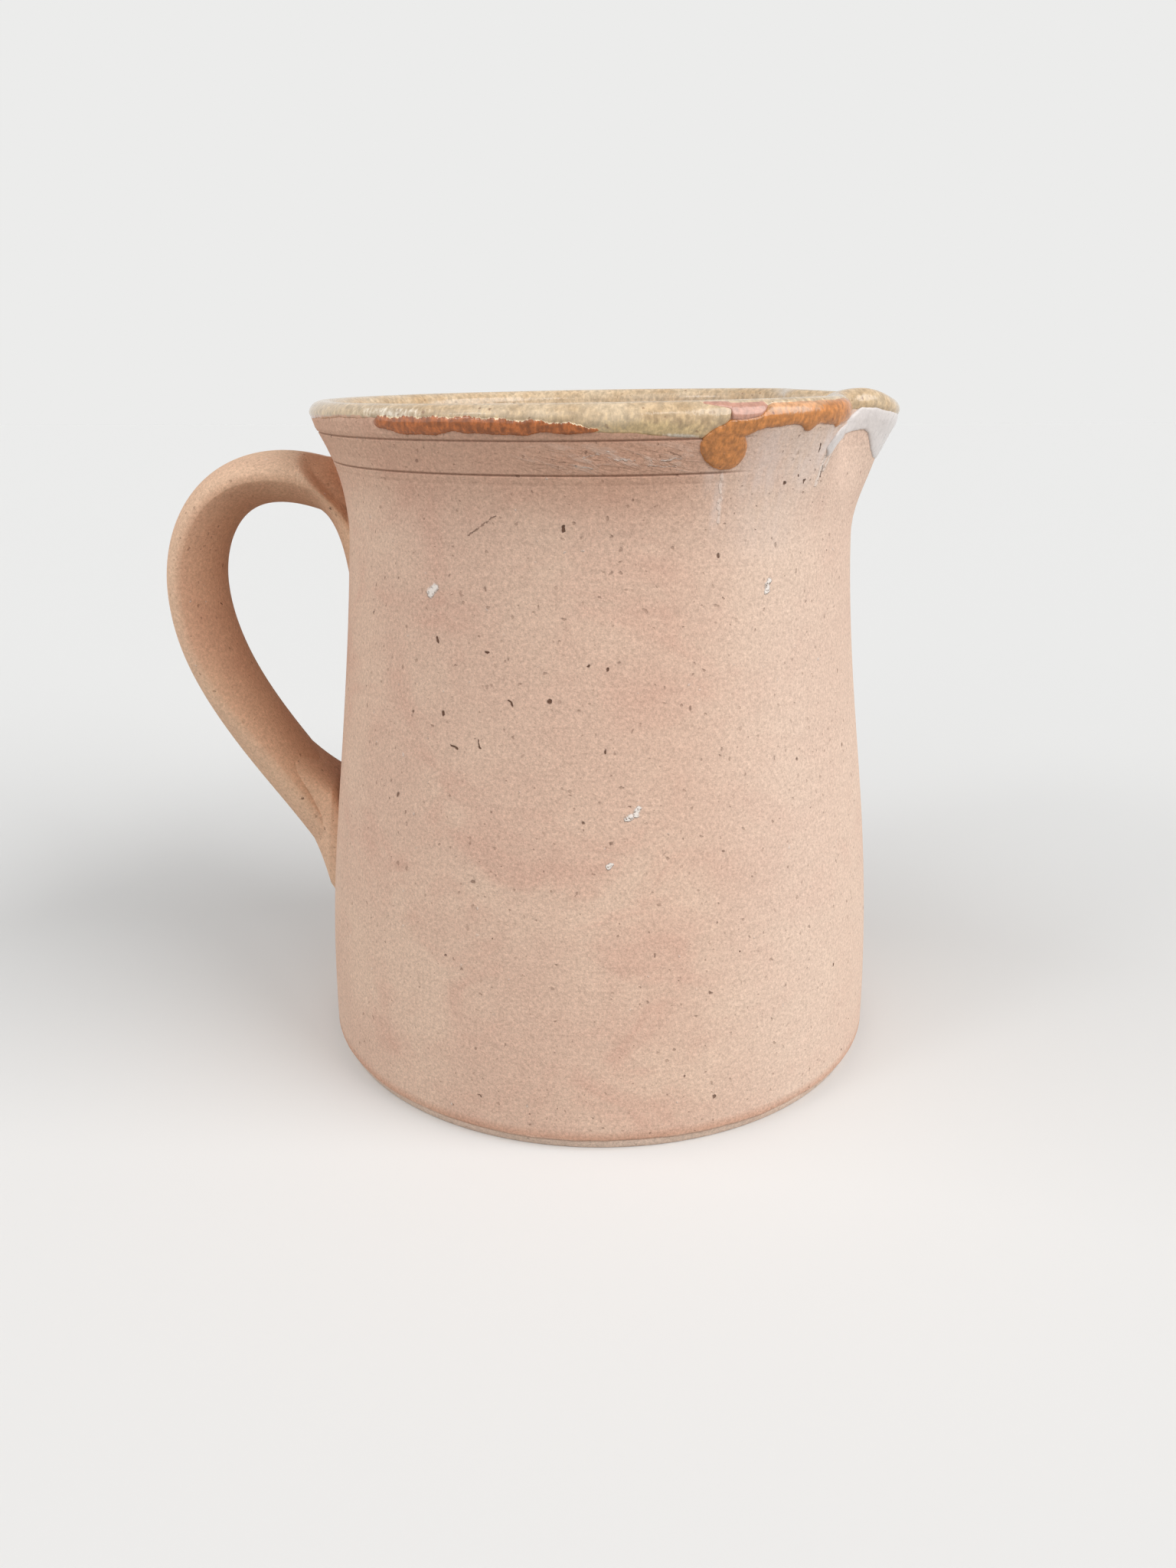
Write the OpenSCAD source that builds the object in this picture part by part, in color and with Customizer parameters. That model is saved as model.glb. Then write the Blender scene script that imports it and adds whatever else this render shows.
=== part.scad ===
// Thrown earthenware pitcher: a waisted body with a pulled spout, a strap handle luted on with two wads
// of clay, and a part glaze that lines the inside and runs over the lip.
// The jug stands on the plane z = 0 with its axis on Z, the spout towards +X and the handle towards -X.
// Lengths are in millimetres and angles in degrees, counted round the axis from the spout.

/* [Thrown body] */
// Mean height of the clay rim above the table
body_height = 180; // [165:1:210]
// Radius of the wall just above the foot
base_radius = 80; // [76:0.5:90]
// Radius of the waist under the collar
waist_radius = 67.8; // [63:0.2:73]
// Depth of the waist below the rim
waist_depth = 32; // [26:1:42]
// Outer radius of the rolled lip
lip_radius = 75.4; // [73:0.2:82]
// Thickness of the rolled lip
lip_thickness = 6; // [5:0.1:8]
// How far the lip stands proud of the flare below it
lip_proud = 0.8; // [0.3:0.1:1.5]
// Thickness of the wall
wall = 6; // [4.5:0.1:8]
// Thickness of the floor
floor_thickness = 8; // [6:0.5:12]
// Radius of the corner between the floor and the wall, inside
floor_corner = 12; // [6:0.5:20]
// How far the rim rises towards the spout, and falls towards the handle
rim_rise = 1; // [0:0.1:4]

/* [Foot] */
// Radius of the flat base
foot_radius = 78; // [74:0.5:79]
// Height of the trimmed bevel round the foot
foot_height = 3; // [2:0.1:5]
// How far the wall overhangs the top of the bevel
foot_ledge = 0.6; // [0.3:0.1:1.5]

/* [Turned lines] */
// Distance of the upper line below the lip
line_drop = 1; // [0.9:0.1:3]
// Distance between the two lines
line_spacing = 7.5; // [5:0.5:12]
// Half width of a line
line_half_width = 0.6; // [0.3:0.1:0.8]
// Depth of a line
line_depth = 0.5; // [0.2:0.1:0.9]

/* [Spout] */
// How far the tip of the spout is pulled out
tip_pull = 3; // [1:0.1:8]
// Angle over which the pull fades on each side
tip_spread = 17; // [10:1:24]
// Depth of the finger pinch on each side of the spout
pinch_depth = 7.5; // [3:0.5:9]
// Angle from the tip to the middle of a pinch at the rim
pinch_angle = 28; // [24:1:38]
// Angle over which a pinch fades
pinch_spread = 8.5; // [7:0.5:12]
// How far below the rim the pull of the spout starts
spout_depth = 34; // [26:1:45]
// How far below the rim the pinches start
pinch_start = 24; // [18:1:34]
// How far the tip droops
tip_droop = 1.9; // [0:0.1:5]
// How far the rim lifts between the tip and the pinch on the -Y side
shoulder_lift = 1.7; // [0:0.1:3]
// Angle from the tip to the middle of that lift
shoulder_angle = 21; // [16:1:30]
// Angle over which the lift fades
shoulder_spread = 6; // [5:0.5:10]

/* [Strap handle] */
// Width of the strap at its upper end
strap_top_width = 34; // [26:0.5:40]
// Width of the strap at its lower end
strap_low_width = 28; // [20:0.5:34]
// Thickness of the strap
strap_thickness = 13.2; // [10:0.2:17]
// Distance from the jug's axis to the middle of the grip
grip_reach = 112.4; // [106:0.2:125]
// Depth of the grip's outermost point below the rim
grip_depth = 50.6; // [46:0.2:62]
// Depth of the strap's upper end below the rim
strap_top_depth = 29; // [24:0.5:34]
// Height of the strap's lower end above the table
strap_low_height = 46; // [36:1:64]

/* [Clay wads at the handle] */
// How far the upper wad stands out from the wall
upper_wad_length = 14; // [10:1:20]
// How far the upper wad spreads down the wall under the strap
upper_wad_drop = 17; // [8:1:22]
// How far the lower wad stands out from the wall
lower_wad_length = 9; // [6:1:14]
// How far the lower wad spreads down the wall under the strap
lower_wad_drop = 9; // [4:1:14]
// How far a wad spreads on its other sides
wad_spread = 4; // [2:0.5:7]

/* [Glaze] */
// How far the cream glaze reaches below the rim at the handle
dip_depth = 4.5; // [3.8:0.1:5.2]
// Thickness of the cream glaze
cream_thickness = 0.6; // [0.3:0.1:1.2]
// Thickness of the brown, pink and white runs
run_thickness = 0.6; // [0.3:0.1:1.2]
// Hairline between a run and the clay or the coat beside it
seam = 0.15; // [0.1:0.05:0.4]

/* [Hidden] */
$fn = 96;

// Heights worked out from the driving sizes
waist_z = body_height - waist_depth;
roll_z = body_height - lip_thickness;
upper_line_z = roll_z - line_drop;
lower_line_z = upper_line_z - line_spacing;
corner_z = floor_thickness + floor_corner;

// The lip is a round bead whose underside starts at this angle below the horizontal
bead = lip_thickness / 2;
bead_start = -20;
bead_centre = [lip_radius - bead, body_height - bead];
lip_root_radius = lip_radius - lip_proud;

// Powers that shape the belly of the wall and the flare of the collar
belly_power = 1.5;
flare_power = 2.1;

// Angle over which the droop of the spout's tip fades
droop_spread = pinch_angle * 2 / 3;

// Sections round the axis: close together at the spout, wider apart elsewhere
spout_arc = 56;
spout_step = 3.5;
round_step = 7.75;
angles = concat([for (a = [-spout_arc : spout_step : spout_arc]) a],
                [for (a = [spout_arc + round_step : round_step : 360 - spout_arc - round_step / 2]) a]);

// Smooth step from 0 at a to 1 at b, and a bell that is 1 at 0 and fades over a width
function smooth(a, b, x) = let (t = max(0, min(1, (x - a) / (b - a)))) t * t * (3 - 2 * t);
function bell(x, width) = exp(-pow(x / width, 2));
function pair_of_bells(x, middle, width) = bell(x - middle, width) + bell(x + middle, width);
function from_spout(a) = a > 180 ? a - 360 : a;

// Point of the lip's bead at an angle, and the outer radius of the clay at a height
function bead_point(a) = bead_centre + bead * [cos(a), sin(a)];
function belly_radius(z) =
    let (share = (waist_z - z) / (waist_z - foot_height))
    waist_radius + (base_radius - waist_radius) * pow(sin(90 * share), belly_power);
function flare_radius(z) =
    let (share = (z - waist_z) / (roll_z - waist_z))
    waist_radius + (lip_root_radius - waist_radius) * pow(share, flare_power);
function roll_radius(z) =
    lookup(z, [[roll_z, lip_root_radius], [bead_point(bead_start).y, bead_point(bead_start).x]]);
function bead_radius(z) = bead_centre.x + sqrt(max(0, bead * bead - pow(z - bead_centre.y, 2)));
function outer_radius(z) =
    z <= waist_z ? belly_radius(z) :
    z <= roll_z ? flare_radius(z) :
    z <= bead_point(bead_start).y ? roll_radius(z) : bead_radius(z);

// The spout: how far the clay moves outwards and upwards at a height and an angle
function spout_pull(z, a) =
    tip_pull * bell(a, tip_spread) * smooth(body_height - spout_depth, body_height - spout_depth / 2, z)
    - pinch_depth * pair_of_bells(a, pinch_angle, pinch_spread)
      * smooth(body_height - pinch_start, body_height - bead, z);
function rim_lift(z, a) =
    rim_rise * cos(a) * smooth(waist_z, body_height, z)
    + (shoulder_lift * bell(a + shoulder_angle, shoulder_spread) - tip_droop * bell(a, droop_spread))
      * smooth(body_height - pinch_start, body_height, z);

// Carries a point [radius, height] of the turned profile round to an angle, with the spout's pull
function place(p, a) =
    let (s = from_spout(a), r = p.x + spout_pull(p.y, s)) [r * cos(a), r * sin(a), p.y + rim_lift(p.y, s)];

// Evenly spaced values after the first one, up to the last
function steps(first, last, count) = [for (k = [1 : count]) first + (last - first) * k / count];

// The turned profile: outside from the foot to the lip, over the lip, and down the inside to the floor
function wall_points(levels, inset) = [for (z = levels) [outer_radius(z) - inset, z]];
function line_points(z) = concat(wall_points([z - line_half_width], 0), wall_points([z], line_depth),
                                 wall_points([z + line_half_width], 0));
belly_levels = concat([foot_height], steps(foot_height, waist_z, 9));
collar_levels = steps(waist_z, lower_line_z - line_half_width, 4);
plain_path = wall_points(concat(belly_levels, collar_levels, [roll_z]), 0);
outside_path = concat(wall_points(belly_levels, 0),
                      wall_points([for (k = [0 : len(collar_levels) - 2]) collar_levels[k]], 0),
                      line_points(lower_line_z),
                      wall_points([(lower_line_z + upper_line_z) / 2], 0),
                      line_points(upper_line_z));
bead_step = 25;
lip_path = [for (a = [bead_start : bead_step : 180]) bead_point(a)];
inside_levels = concat(steps(body_height - bead, waist_z, 3), steps(waist_z, corner_z, 4));
corner_centre = [outer_radius(corner_z) - wall - floor_corner, corner_z];
corner_step = 30;
floor_eye = 14;
inside_path = concat(wall_points(inside_levels, wall),
                     [for (a = [corner_step : corner_step : 90])
                         corner_centre + floor_corner * [cos(a), -sin(a)]],
                     [[floor_eye, floor_thickness]]);

// Joins rings of points into one closed solid: rings turn right-handed about the way they follow each other
module loft(rings) {
    n = len(rings[0]);
    last = (len(rings) - 1) * n;
    sides = [for (i = [0 : len(rings) - 2], j = [0 : n - 1])
             let (k = (j + 1) % n, low = i * n, high = low + n)
             each [[low + j, high + j, high + k], [low + j, high + k, low + k]]];
    first_cap = [for (j = [0 : n - 1]) j];
    last_cap = [for (j = [n - 1 : -1 : 0]) last + j];
    polyhedron([for (ring = rings) each ring], concat(sides, [first_cap, last_cap]));
}

// A turned solid whose profile may change with the angle: profiles[k] is the profile at angles[k]
module turned(profiles) {
    loft([for (i = [0 : len(profiles[0]) - 1])
          [for (k = [0 : len(angles) - 1]) place(profiles[k][i], angles[k])]]);
}

// The outside of the clay as a plain solid, which everything luted to it is cut to
module clay_form() {
    rotate_extrude()
        polygon(concat([[0, foot_height]], plain_path, [[0, roll_z]]));
}

module thrown_body() {
    profile = concat(outside_path, lip_path, inside_path);
    bevel_radius = base_radius * cos(round_step / 2) - foot_ledge;
    buried = floor_thickness / 4;
    color([0.80, 0.60, 0.47]) union() {
        turned([for (a = angles) profile]);
        rotate_extrude()
            polygon([[0, 0], [foot_radius, 0], [bevel_radius, foot_height],
                     [bevel_radius, foot_height + buried], [0, foot_height + buried]]);
    }
}

// The strap's middle line is two curves that start inside the wall and meet upright at the grip.
// The pulls set how each curve leaves its two ends.
strap_seat = 8;
top_pull = [-38.4, 22.4];
low_pull = [-16.3, 32.5];
upper_grip_pull = [0, 18.6];
lower_grip_pull = [0, -31];
strap_top_z = body_height - strap_top_depth;
strap_top = [strap_seat - outer_radius(strap_top_z), strap_top_z];
strap_low = [strap_seat - outer_radius(strap_low_height), strap_low_height];
grip = [-grip_reach, body_height - grip_depth];
upper_curve = [strap_top, strap_top + top_pull, grip + upper_grip_pull, grip];
lower_curve = [strap_low, strap_low + low_pull, grip + lower_grip_pull, grip];
strap_steps = 12;

function bezier(p, t) = pow(1 - t, 3) * p[0] + 3 * t * pow(1 - t, 2) * p[1] + 3 * t * t * (1 - t) * p[2]
                        + pow(t, 3) * p[3];
strap_line = concat([for (k = [0 : strap_steps - 1]) bezier(upper_curve, k / strap_steps)],
                    [for (k = [strap_steps : -1 : 0]) bezier(lower_curve, k / strap_steps)]);

// Section of the strap: an oval squared off at its edges, square to the line's direction at a point
oval_sides = 18;
oval_power = 5 / 6;
function squared(x) = sign(x) * pow(abs(x), oval_power);
function oval_ring(middle, along, half_width, half_thickness) =
    [for (k = [0 : oval_sides - 1])
        let (a = 360 * (k + 0.5) / oval_sides,
             sideways = half_width * squared(cos(a)),
             out = half_thickness * squared(sin(a)))
        [middle.x - along.y * out, sideways, middle.y + along.x * out]];
function unit(v) = v / norm(v);
function direction(line, k) = unit(line[min(k + 1, len(line) - 1)] - line[max(k - 1, 0)]);
function strap_half_width(share) = (strap_top_width + (strap_low_width - strap_top_width) * share) / 2;

module strap() {
    last = len(strap_line) - 1;
    loft([for (k = [0 : last])
          oval_ring(strap_line[k], direction(strap_line, k),
                    strap_half_width(k / last), strap_thickness / 2)]);
}

module strap_handle() {
    color([0.78, 0.57, 0.43]) difference() {
        strap();
        clay_form();
    }
}

// A wad of clay thumbed round one end of the strap: widest at the wall, it sinks into the strap further out.
// Its sections are upright, so it fills the corner between the strap and the wall above and below the strap.
// It starts a little inside the wall, and wad_fade is the power with which its spread dies away.
wad_steps = 8;
wad_root = 6;
wad_sunk = 0.5;
wad_fade = 3.5;
module joint_wad(curve, length, half_width, drop) {
    speed = 3 * abs(curve[1].x - curve[0].x);
    difference() {
        loft([for (k = [0 : wad_steps])
              let (out = -wad_root + (wad_root + length) * k / wad_steps,
                   t = (strap_seat + out) / speed,
                   along = unit(bezier(curve, t + 0.01) - bezier(curve, t)),
                   grow = pow(1 - max(0, min(out, length)) / length, wad_fade),
                   half_height = strap_thickness / 2 / abs(along.x))
              oval_ring(bezier(curve, t) - [0, (drop - wad_spread) / 2 * grow], [-1, 0],
                        half_width - wad_sunk + wad_spread * grow,
                        half_height - wad_sunk + (drop + wad_spread) / 2 * grow)]);
        strap();
        clay_form();
    }
}

module upper_joint_wad() {
    color([0.72, 0.51, 0.38])
        joint_wad(upper_curve, upper_wad_length, strap_top_width / 2, upper_wad_drop);
}

module lower_joint_wad() {
    color([0.72, 0.51, 0.38])
        joint_wad(lower_curve, lower_wad_length, strap_low_width / 2, lower_wad_drop);
}

// How far each coat reaches below the rim, as pairs of angle and share of the dip's depth
cream_edge = [[-180, 1], [-135, 0.93], [-128, 0.67], [-104, 0.67], [-94, 1.07], [-84, 1.33], [-75, 1.46],
              [-72, 0.78], [-70, 0.2], [-64, 0.2], [-60, 0.42], [-46, 0.31], [-40, 0.53], [-30, 0.67],
              [0, 0.76], [30, 0.71], [45, 0.89], [90, 1.07], [130, 0.93], [180, 1]];
streak_edge = [[-131, 1.07], [-124, 1.25], [-104, 1.32], [-92, 1.32]];
band_top = [[-74, 1.6], [-70.5, 0.73], [-64, 0.73], [-63, 0.33], [-60, 0.42], [-46, 0.31], [-42, 0.45]];
band_edge = [[-74, 1.9], [-72.5, 2.9], [-69.5, 3.25], [-66.5, 2.9], [-64.5, 1.8], [-63, 1.2], [-57, 1.1],
             [-53, 1.4], [-50, 1.1], [-42, 1.1]];
pink_edge = [[-70, 0.67], [-64, 0.67]];
white_edge = [[-36, 2.5], [-31, 2.1], [-22, 1.8], [-19, 2.2], [-16, 3.2], [-12, 3.35], [-8, 3], [-4, 1.8],
              [10, 1.33]];
function reach(edge, a) = dip_depth * lookup(from_spout(a), edge);

// Sections of a run from its top edge to its bottom edge, and the share of its thickness left at those edges
run_sections = 3;
run_edge_share = 0.4;

// The clay's outside between two depths below the rim, and a path moved off the clay along its normal
function edge_path(from, to, count) =
    [for (k = [0 : count])
        let (z = body_height - from - (to - from) * k / count) [outer_radius(z), z]];
function normal(path, k) =
    let (d = unit(path[min(k + 1, len(path) - 1)] - path[max(k - 1, 0)])) [d.y, -d.x];
function coated(path, thickness) =
    [for (k = [0 : len(path) - 1]) path[k] + normal(path, k) * thickness];
function reversed(list) = [for (k = [len(list) - 1 : -1 : 0]) list[k]];

// A run of glaze on the outside: a hairline off the clay, between a top and a bottom edge, with a domed face
function run_ring(a, from, to) =
    let (path = coated(edge_path(from, to, run_sections), -seam),
         free = [for (k = [0 : run_sections])
                 let (dome = run_edge_share + (1 - run_edge_share) * sin(180 * k / run_sections))
                 path[k] - normal(path, k) * run_thickness * dome])
    [for (p = concat(free, reversed(path))) place(p, a)];

// A whole run between two edges, with its sections a step apart
module glaze_run(top, bottom, step) {
    first = bottom[0][0];
    last = bottom[len(bottom) - 1][0];
    loft([for (a = [first : step : last]) run_ring(a, reach(top, a) + seam, reach(bottom, a))]);
}

module brown_glaze_runs() {
    color([0.66, 0.36, 0.14]) {
        glaze_run(cream_edge, streak_edge, step = 3);
        glaze_run(band_top, band_edge, step = 1.6);
    }
}

module pink_glaze_patch() {
    color([0.86, 0.62, 0.53]) glaze_run(cream_edge, pink_edge, step = 1);
}

module white_slip_run() {
    color([0.92, 0.91, 0.89]) glaze_run(cream_edge, white_edge, step = 2);
}

// The cream glaze lines the floor and the wall and laps over the lip to its own uneven edge.
// Its outer stretch starts just past the crest of the lip.
edge_sections = 4;
crest_depth = 0.12;
inner_lip_path = [for (p = lip_path) if (p.x <= bead_centre.x) p];
function lining_path(a) =
    concat(reversed(inside_path), reversed(inner_lip_path),
           edge_path(crest_depth, reach(cream_edge, a), edge_sections));

module cream_glaze() {
    color([0.90, 0.82, 0.60])
        turned([for (a = angles)
                let (path = lining_path(a)) concat(path, reversed(coated(path, -cream_thickness)))]);
}

thrown_body();
strap_handle();
upper_joint_wad();
lower_joint_wad();
cream_glaze();
brown_glaze_runs();
pink_glaze_patch();
white_slip_run();
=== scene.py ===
"""A thrown earthenware pitcher with a pinched spout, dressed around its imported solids.

Sizes are in millimetres and angles in degrees, counted round the jug's axis from the spout: minus is
towards the camera, and the handle is at 180. Meshes are written in metres.
"""

import logging
from dataclasses import dataclass
from enum import Enum

import bpy
import numpy as np
from mathutils import Matrix


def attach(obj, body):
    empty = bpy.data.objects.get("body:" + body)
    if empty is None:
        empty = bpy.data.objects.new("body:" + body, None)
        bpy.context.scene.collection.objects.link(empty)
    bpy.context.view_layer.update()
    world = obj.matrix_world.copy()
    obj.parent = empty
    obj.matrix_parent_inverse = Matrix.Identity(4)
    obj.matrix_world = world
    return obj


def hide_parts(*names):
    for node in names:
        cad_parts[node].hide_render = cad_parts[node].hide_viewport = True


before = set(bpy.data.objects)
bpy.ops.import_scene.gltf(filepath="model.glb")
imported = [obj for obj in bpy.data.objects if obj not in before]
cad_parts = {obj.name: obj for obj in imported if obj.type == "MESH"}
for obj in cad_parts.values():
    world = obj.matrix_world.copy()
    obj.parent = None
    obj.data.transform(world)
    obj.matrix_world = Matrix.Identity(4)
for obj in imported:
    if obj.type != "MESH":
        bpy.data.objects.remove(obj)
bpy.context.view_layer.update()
LOG = logging.getLogger("pitcher")
MM = 0.001
BODY = "root"
Span = tuple[float, float]
Pairs = tuple[Span, ...]
Point = tuple[float, float, float]


def smooth(low: float, high: float, x: np.ndarray) -> np.ndarray:
    """Smooth step: 0 below low, 1 above high, and 3t^2 - 2t^3 between them.

    Args:
        low: Where the step starts.
        high: Where the step ends.
        x: The values to step.

    Returns:
        The step at each value.
    """
    t = np.clip((x - low) / (high - low), 0.0, 1.0)
    return t * t * (3.0 - 2.0 * t)


def plateau(x: np.ndarray, rise: Span, fall: Span) -> np.ndarray:
    """Smooth step up over the rise and down again over the fall."""
    return smooth(*rise, x) * (1.0 - smooth(*fall, x))


def bell(x: np.ndarray, width: float) -> np.ndarray:
    """Bell curve exp(-(x / width)^2), which is 1 at 0."""
    return np.exp(-((x / width) ** 2))


def dome(share: np.ndarray) -> np.ndarray:
    """Height of a plump coat: the root of one less the fourth power of the share of the way to its edge."""
    return np.sqrt(1.0 - share**4)


def along(x: np.ndarray, pairs: Pairs) -> np.ndarray:
    """Straight-line reading of listed (place, value) pairs at x."""
    places, values = zip(*pairs)
    return np.interp(x, places, values)


def ripple(x: np.ndarray, waves: tuple[float, ...], seed: int, reach: float = 1.6) -> np.ndarray:
    """Uneven line: a sum of sines of x, each with its own seeded phase and a height of one over its rank.

    Args:
        x: Angles in degrees.
        waves: Whole numbers of waves in a full turn.
        seed: Seed of the phases.
        reach: What the sum is divided by, to bring it to about one.

    Returns:
        The line, within about minus and plus one.
    """
    phases = np.random.default_rng(seed).uniform(0.0, 2.0 * np.pi, len(waves))
    ranks = np.arange(1, len(waves) + 1).reshape((-1,) + (1,) * np.ndim(x))
    turns = np.array(waves).reshape(ranks.shape)
    shift = phases.reshape(ranks.shape)
    return (np.sin(turns * np.radians(x) + shift) / ranks).sum(0) / reach


def wrapped(angle: np.ndarray) -> np.ndarray:
    """Angle from the spout, from -180 to 180."""
    return (angle + 180.0) % 360.0 - 180.0


def folded(face: np.ndarray, back: np.ndarray, axis: int) -> np.ndarray:
    """The rows of a face, followed by those of its back in turn from the face's last edge."""
    return np.concatenate([face, np.flip(back, axis)], axis)


def new_object(name: str, points: np.ndarray, faces: list[list[int]]) -> bpy.types.Object:
    """Make a smooth mesh object at the origin and turn its faces outwards.

    The signed volume of a closed mesh, a sum over its triangles, tells which way they point. A flat mesh has
    no volume and stays as it is.

    Args:
        name: Name of the piece.
        points: Points in millimetres, one row each.
        faces: Corner numbers of each face.

    Returns:
        The new object, linked to the scene.
    """
    mesh = bpy.data.meshes.new(name)
    mesh.from_pydata((points * MM).tolist(), [], faces)
    mesh.calc_loop_triangles()
    corners = np.empty(len(mesh.loop_triangles) * 3, dtype=np.int32)
    mesh.loop_triangles.foreach_get("vertices", corners)
    a, b, c = np.moveaxis(points[corners.reshape(-1, 3)], 1, 0)
    if np.einsum("ij,ij->i", a, np.cross(b, c)).sum() < 0.0:
        mesh.flip_normals()
    mesh.polygons.foreach_set("use_smooth", np.ones(len(mesh.polygons), dtype=bool))
    mesh.update()
    piece = bpy.data.objects.new(name, mesh)
    bpy.context.scene.collection.objects.link(piece)
    return piece


def closed_piece(name: str, rings: np.ndarray) -> bpy.types.Object:
    """Join closed rings into one solid skin and close both ends with a fan to the ring's middle.

    Args:
        name: Name of the piece.
        rings: Points, by ring and by place in the ring.

    Returns:
        The new object.
    """
    rows, columns = rings.shape[:2]
    count = rows * columns
    points = np.concatenate([rings.reshape(-1, 3), rings[[0, -1]].mean(1)])
    here = np.arange(count).reshape(rows, columns)
    after = np.roll(here, -1, axis=1)
    quads = np.stack([here[:-1], after[:-1], after[1:], here[1:]], -1).reshape(-1, 4)
    first_fan = np.stack([after[0], here[0], np.full(columns, count)], -1)
    last_fan = np.stack([here[-1], after[-1], np.full(columns, count + 1)], -1)
    return new_object(name, points, quads.tolist() + first_fan.tolist() + last_fan.tolist())


def paint(piece: bpy.types.Object, **tones: np.ndarray | float) -> None:
    """Store one number per point for each named tone.

    Args:
        piece: The piece to paint.
        tones: The strength of each tone at the first points; the points past them get 0.
    """
    for name, values in tones.items():
        store = np.zeros(len(piece.data.vertices), dtype=np.float32)
        store[: np.size(values)] = np.ravel(values)
        piece.data.attributes.new(name, "FLOAT", "POINT").data.foreach_set("value", store)


def settle(piece: bpy.types.Object, node: str, material: bpy.types.Material) -> None:
    """Dress a finished piece, seat it on the jug's body and let it stand for its node.

    Args:
        piece: The new piece.
        node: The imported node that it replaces.
        material: The finish.
    """
    piece.data.materials.append(material)
    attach(piece, BODY)
    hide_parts(node)
    LOG.info("%s replaces %s: %d faces", piece.name, node, len(piece.data.polygons))


@dataclass(frozen=True)
class Tint:
    """A colour as the eye names it, in 8-bit sRGB."""

    red: int
    green: int
    blue: int

    def linear(self) -> tuple[float, float, float, float]:
        """The colour in linear light by the sRGB curve.

        Returns:
            Red, green, blue and full alpha.
        """
        share = np.array([self.red, self.green, self.blue]) / 255.0
        light = np.where(share <= 0.04045, share / 12.92, ((share + 0.055) / 1.055) ** 2.4)
        return (*light.tolist(), 1.0)


@dataclass(frozen=True)
class Cloud:
    """Cloudy noise: lumps per metre, octaves of detail, share of the finer ones and swirl of the lumps.

    The stretch multiplies the lumps per metre along each axis, and the slant turns those axes about y.
    """

    scale: float = 1.0
    detail: float = 3.0
    rough: float = 0.6
    swirl: float = 0.0
    stretch: Point | None = None
    slant: float = 0.0


@dataclass(frozen=True)
class Scatter:
    """Scattered dots: cells per metre, share of the cells with a dot, and largest radius in cells.

    The smallest dot's radius and the faintest dot's strength are shares of the largest and the strongest.
    """

    scale: float
    share: float
    radius: float
    smallest: float = 0.3
    faintest: float = 0.4


class MarkKind(Enum):
    """What a single mark in the clay is."""

    PIT = "pit"
    CHIP = "chip"


@dataclass(frozen=True)
class Mark:
    """One mark in the clay, from a start to an end in millimetres."""

    kind: MarkKind
    start: Point
    end: Point
    half_width: float
    strength: float = 1.0


class NodeMaker:
    """A node tree under construction: short calls that add nodes and join them."""

    def __init__(self, tree: bpy.types.NodeTree) -> None:
        """Start from a tree."""
        self.tree = tree

    def feed(self, socket: bpy.types.NodeSocket, value: object) -> None:
        """Join an output to a socket, or set a plain value or a tint on it.

        Args:
            socket: The input.
            value: The output, the value or the tint.
        """
        if isinstance(value, bpy.types.NodeSocket):
            self.tree.links.new(value, socket)
        elif isinstance(value, Tint):
            socket.default_value = value.linear()
        else:
            socket.default_value = value

    def add(self, kind: str, inputs: dict[str | int, object], **settings: object) -> bpy.types.Node:
        """Add a node.

        Args:
            kind: Blender's name of its type, without the start that all shader nodes share.
            inputs: What its sockets get, by name or by place.
            settings: Its properties.

        Returns:
            The node.
        """
        node = self.tree.nodes.new(f"ShaderNode{kind}")
        for key, value in settings.items():
            setattr(node, key, value)
        for key, value in inputs.items():
            self.feed(node.inputs[key], value)
        return node

    def math(self, operation: str, *values: object) -> bpy.types.NodeSocket:
        """One arithmetic step on numbers or outputs."""
        return self.add("Math", dict(enumerate(values)), operation=operation).outputs[0]

    def looked_at(self) -> bpy.types.NodeSocket:
        """Tell what is seen from the light that bounces between surfaces.

        Returns:
            1 for what the camera, a mirror or glass shows, and 0 for the rest.
        """
        path = self.add("LightPath", {}).outputs
        mirrored = self.math("MAXIMUM", path["Is Glossy Ray"], path["Is Transmission Ray"])
        return self.math("MAXIMUM", path["Is Camera Ray"], mirrored)


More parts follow.
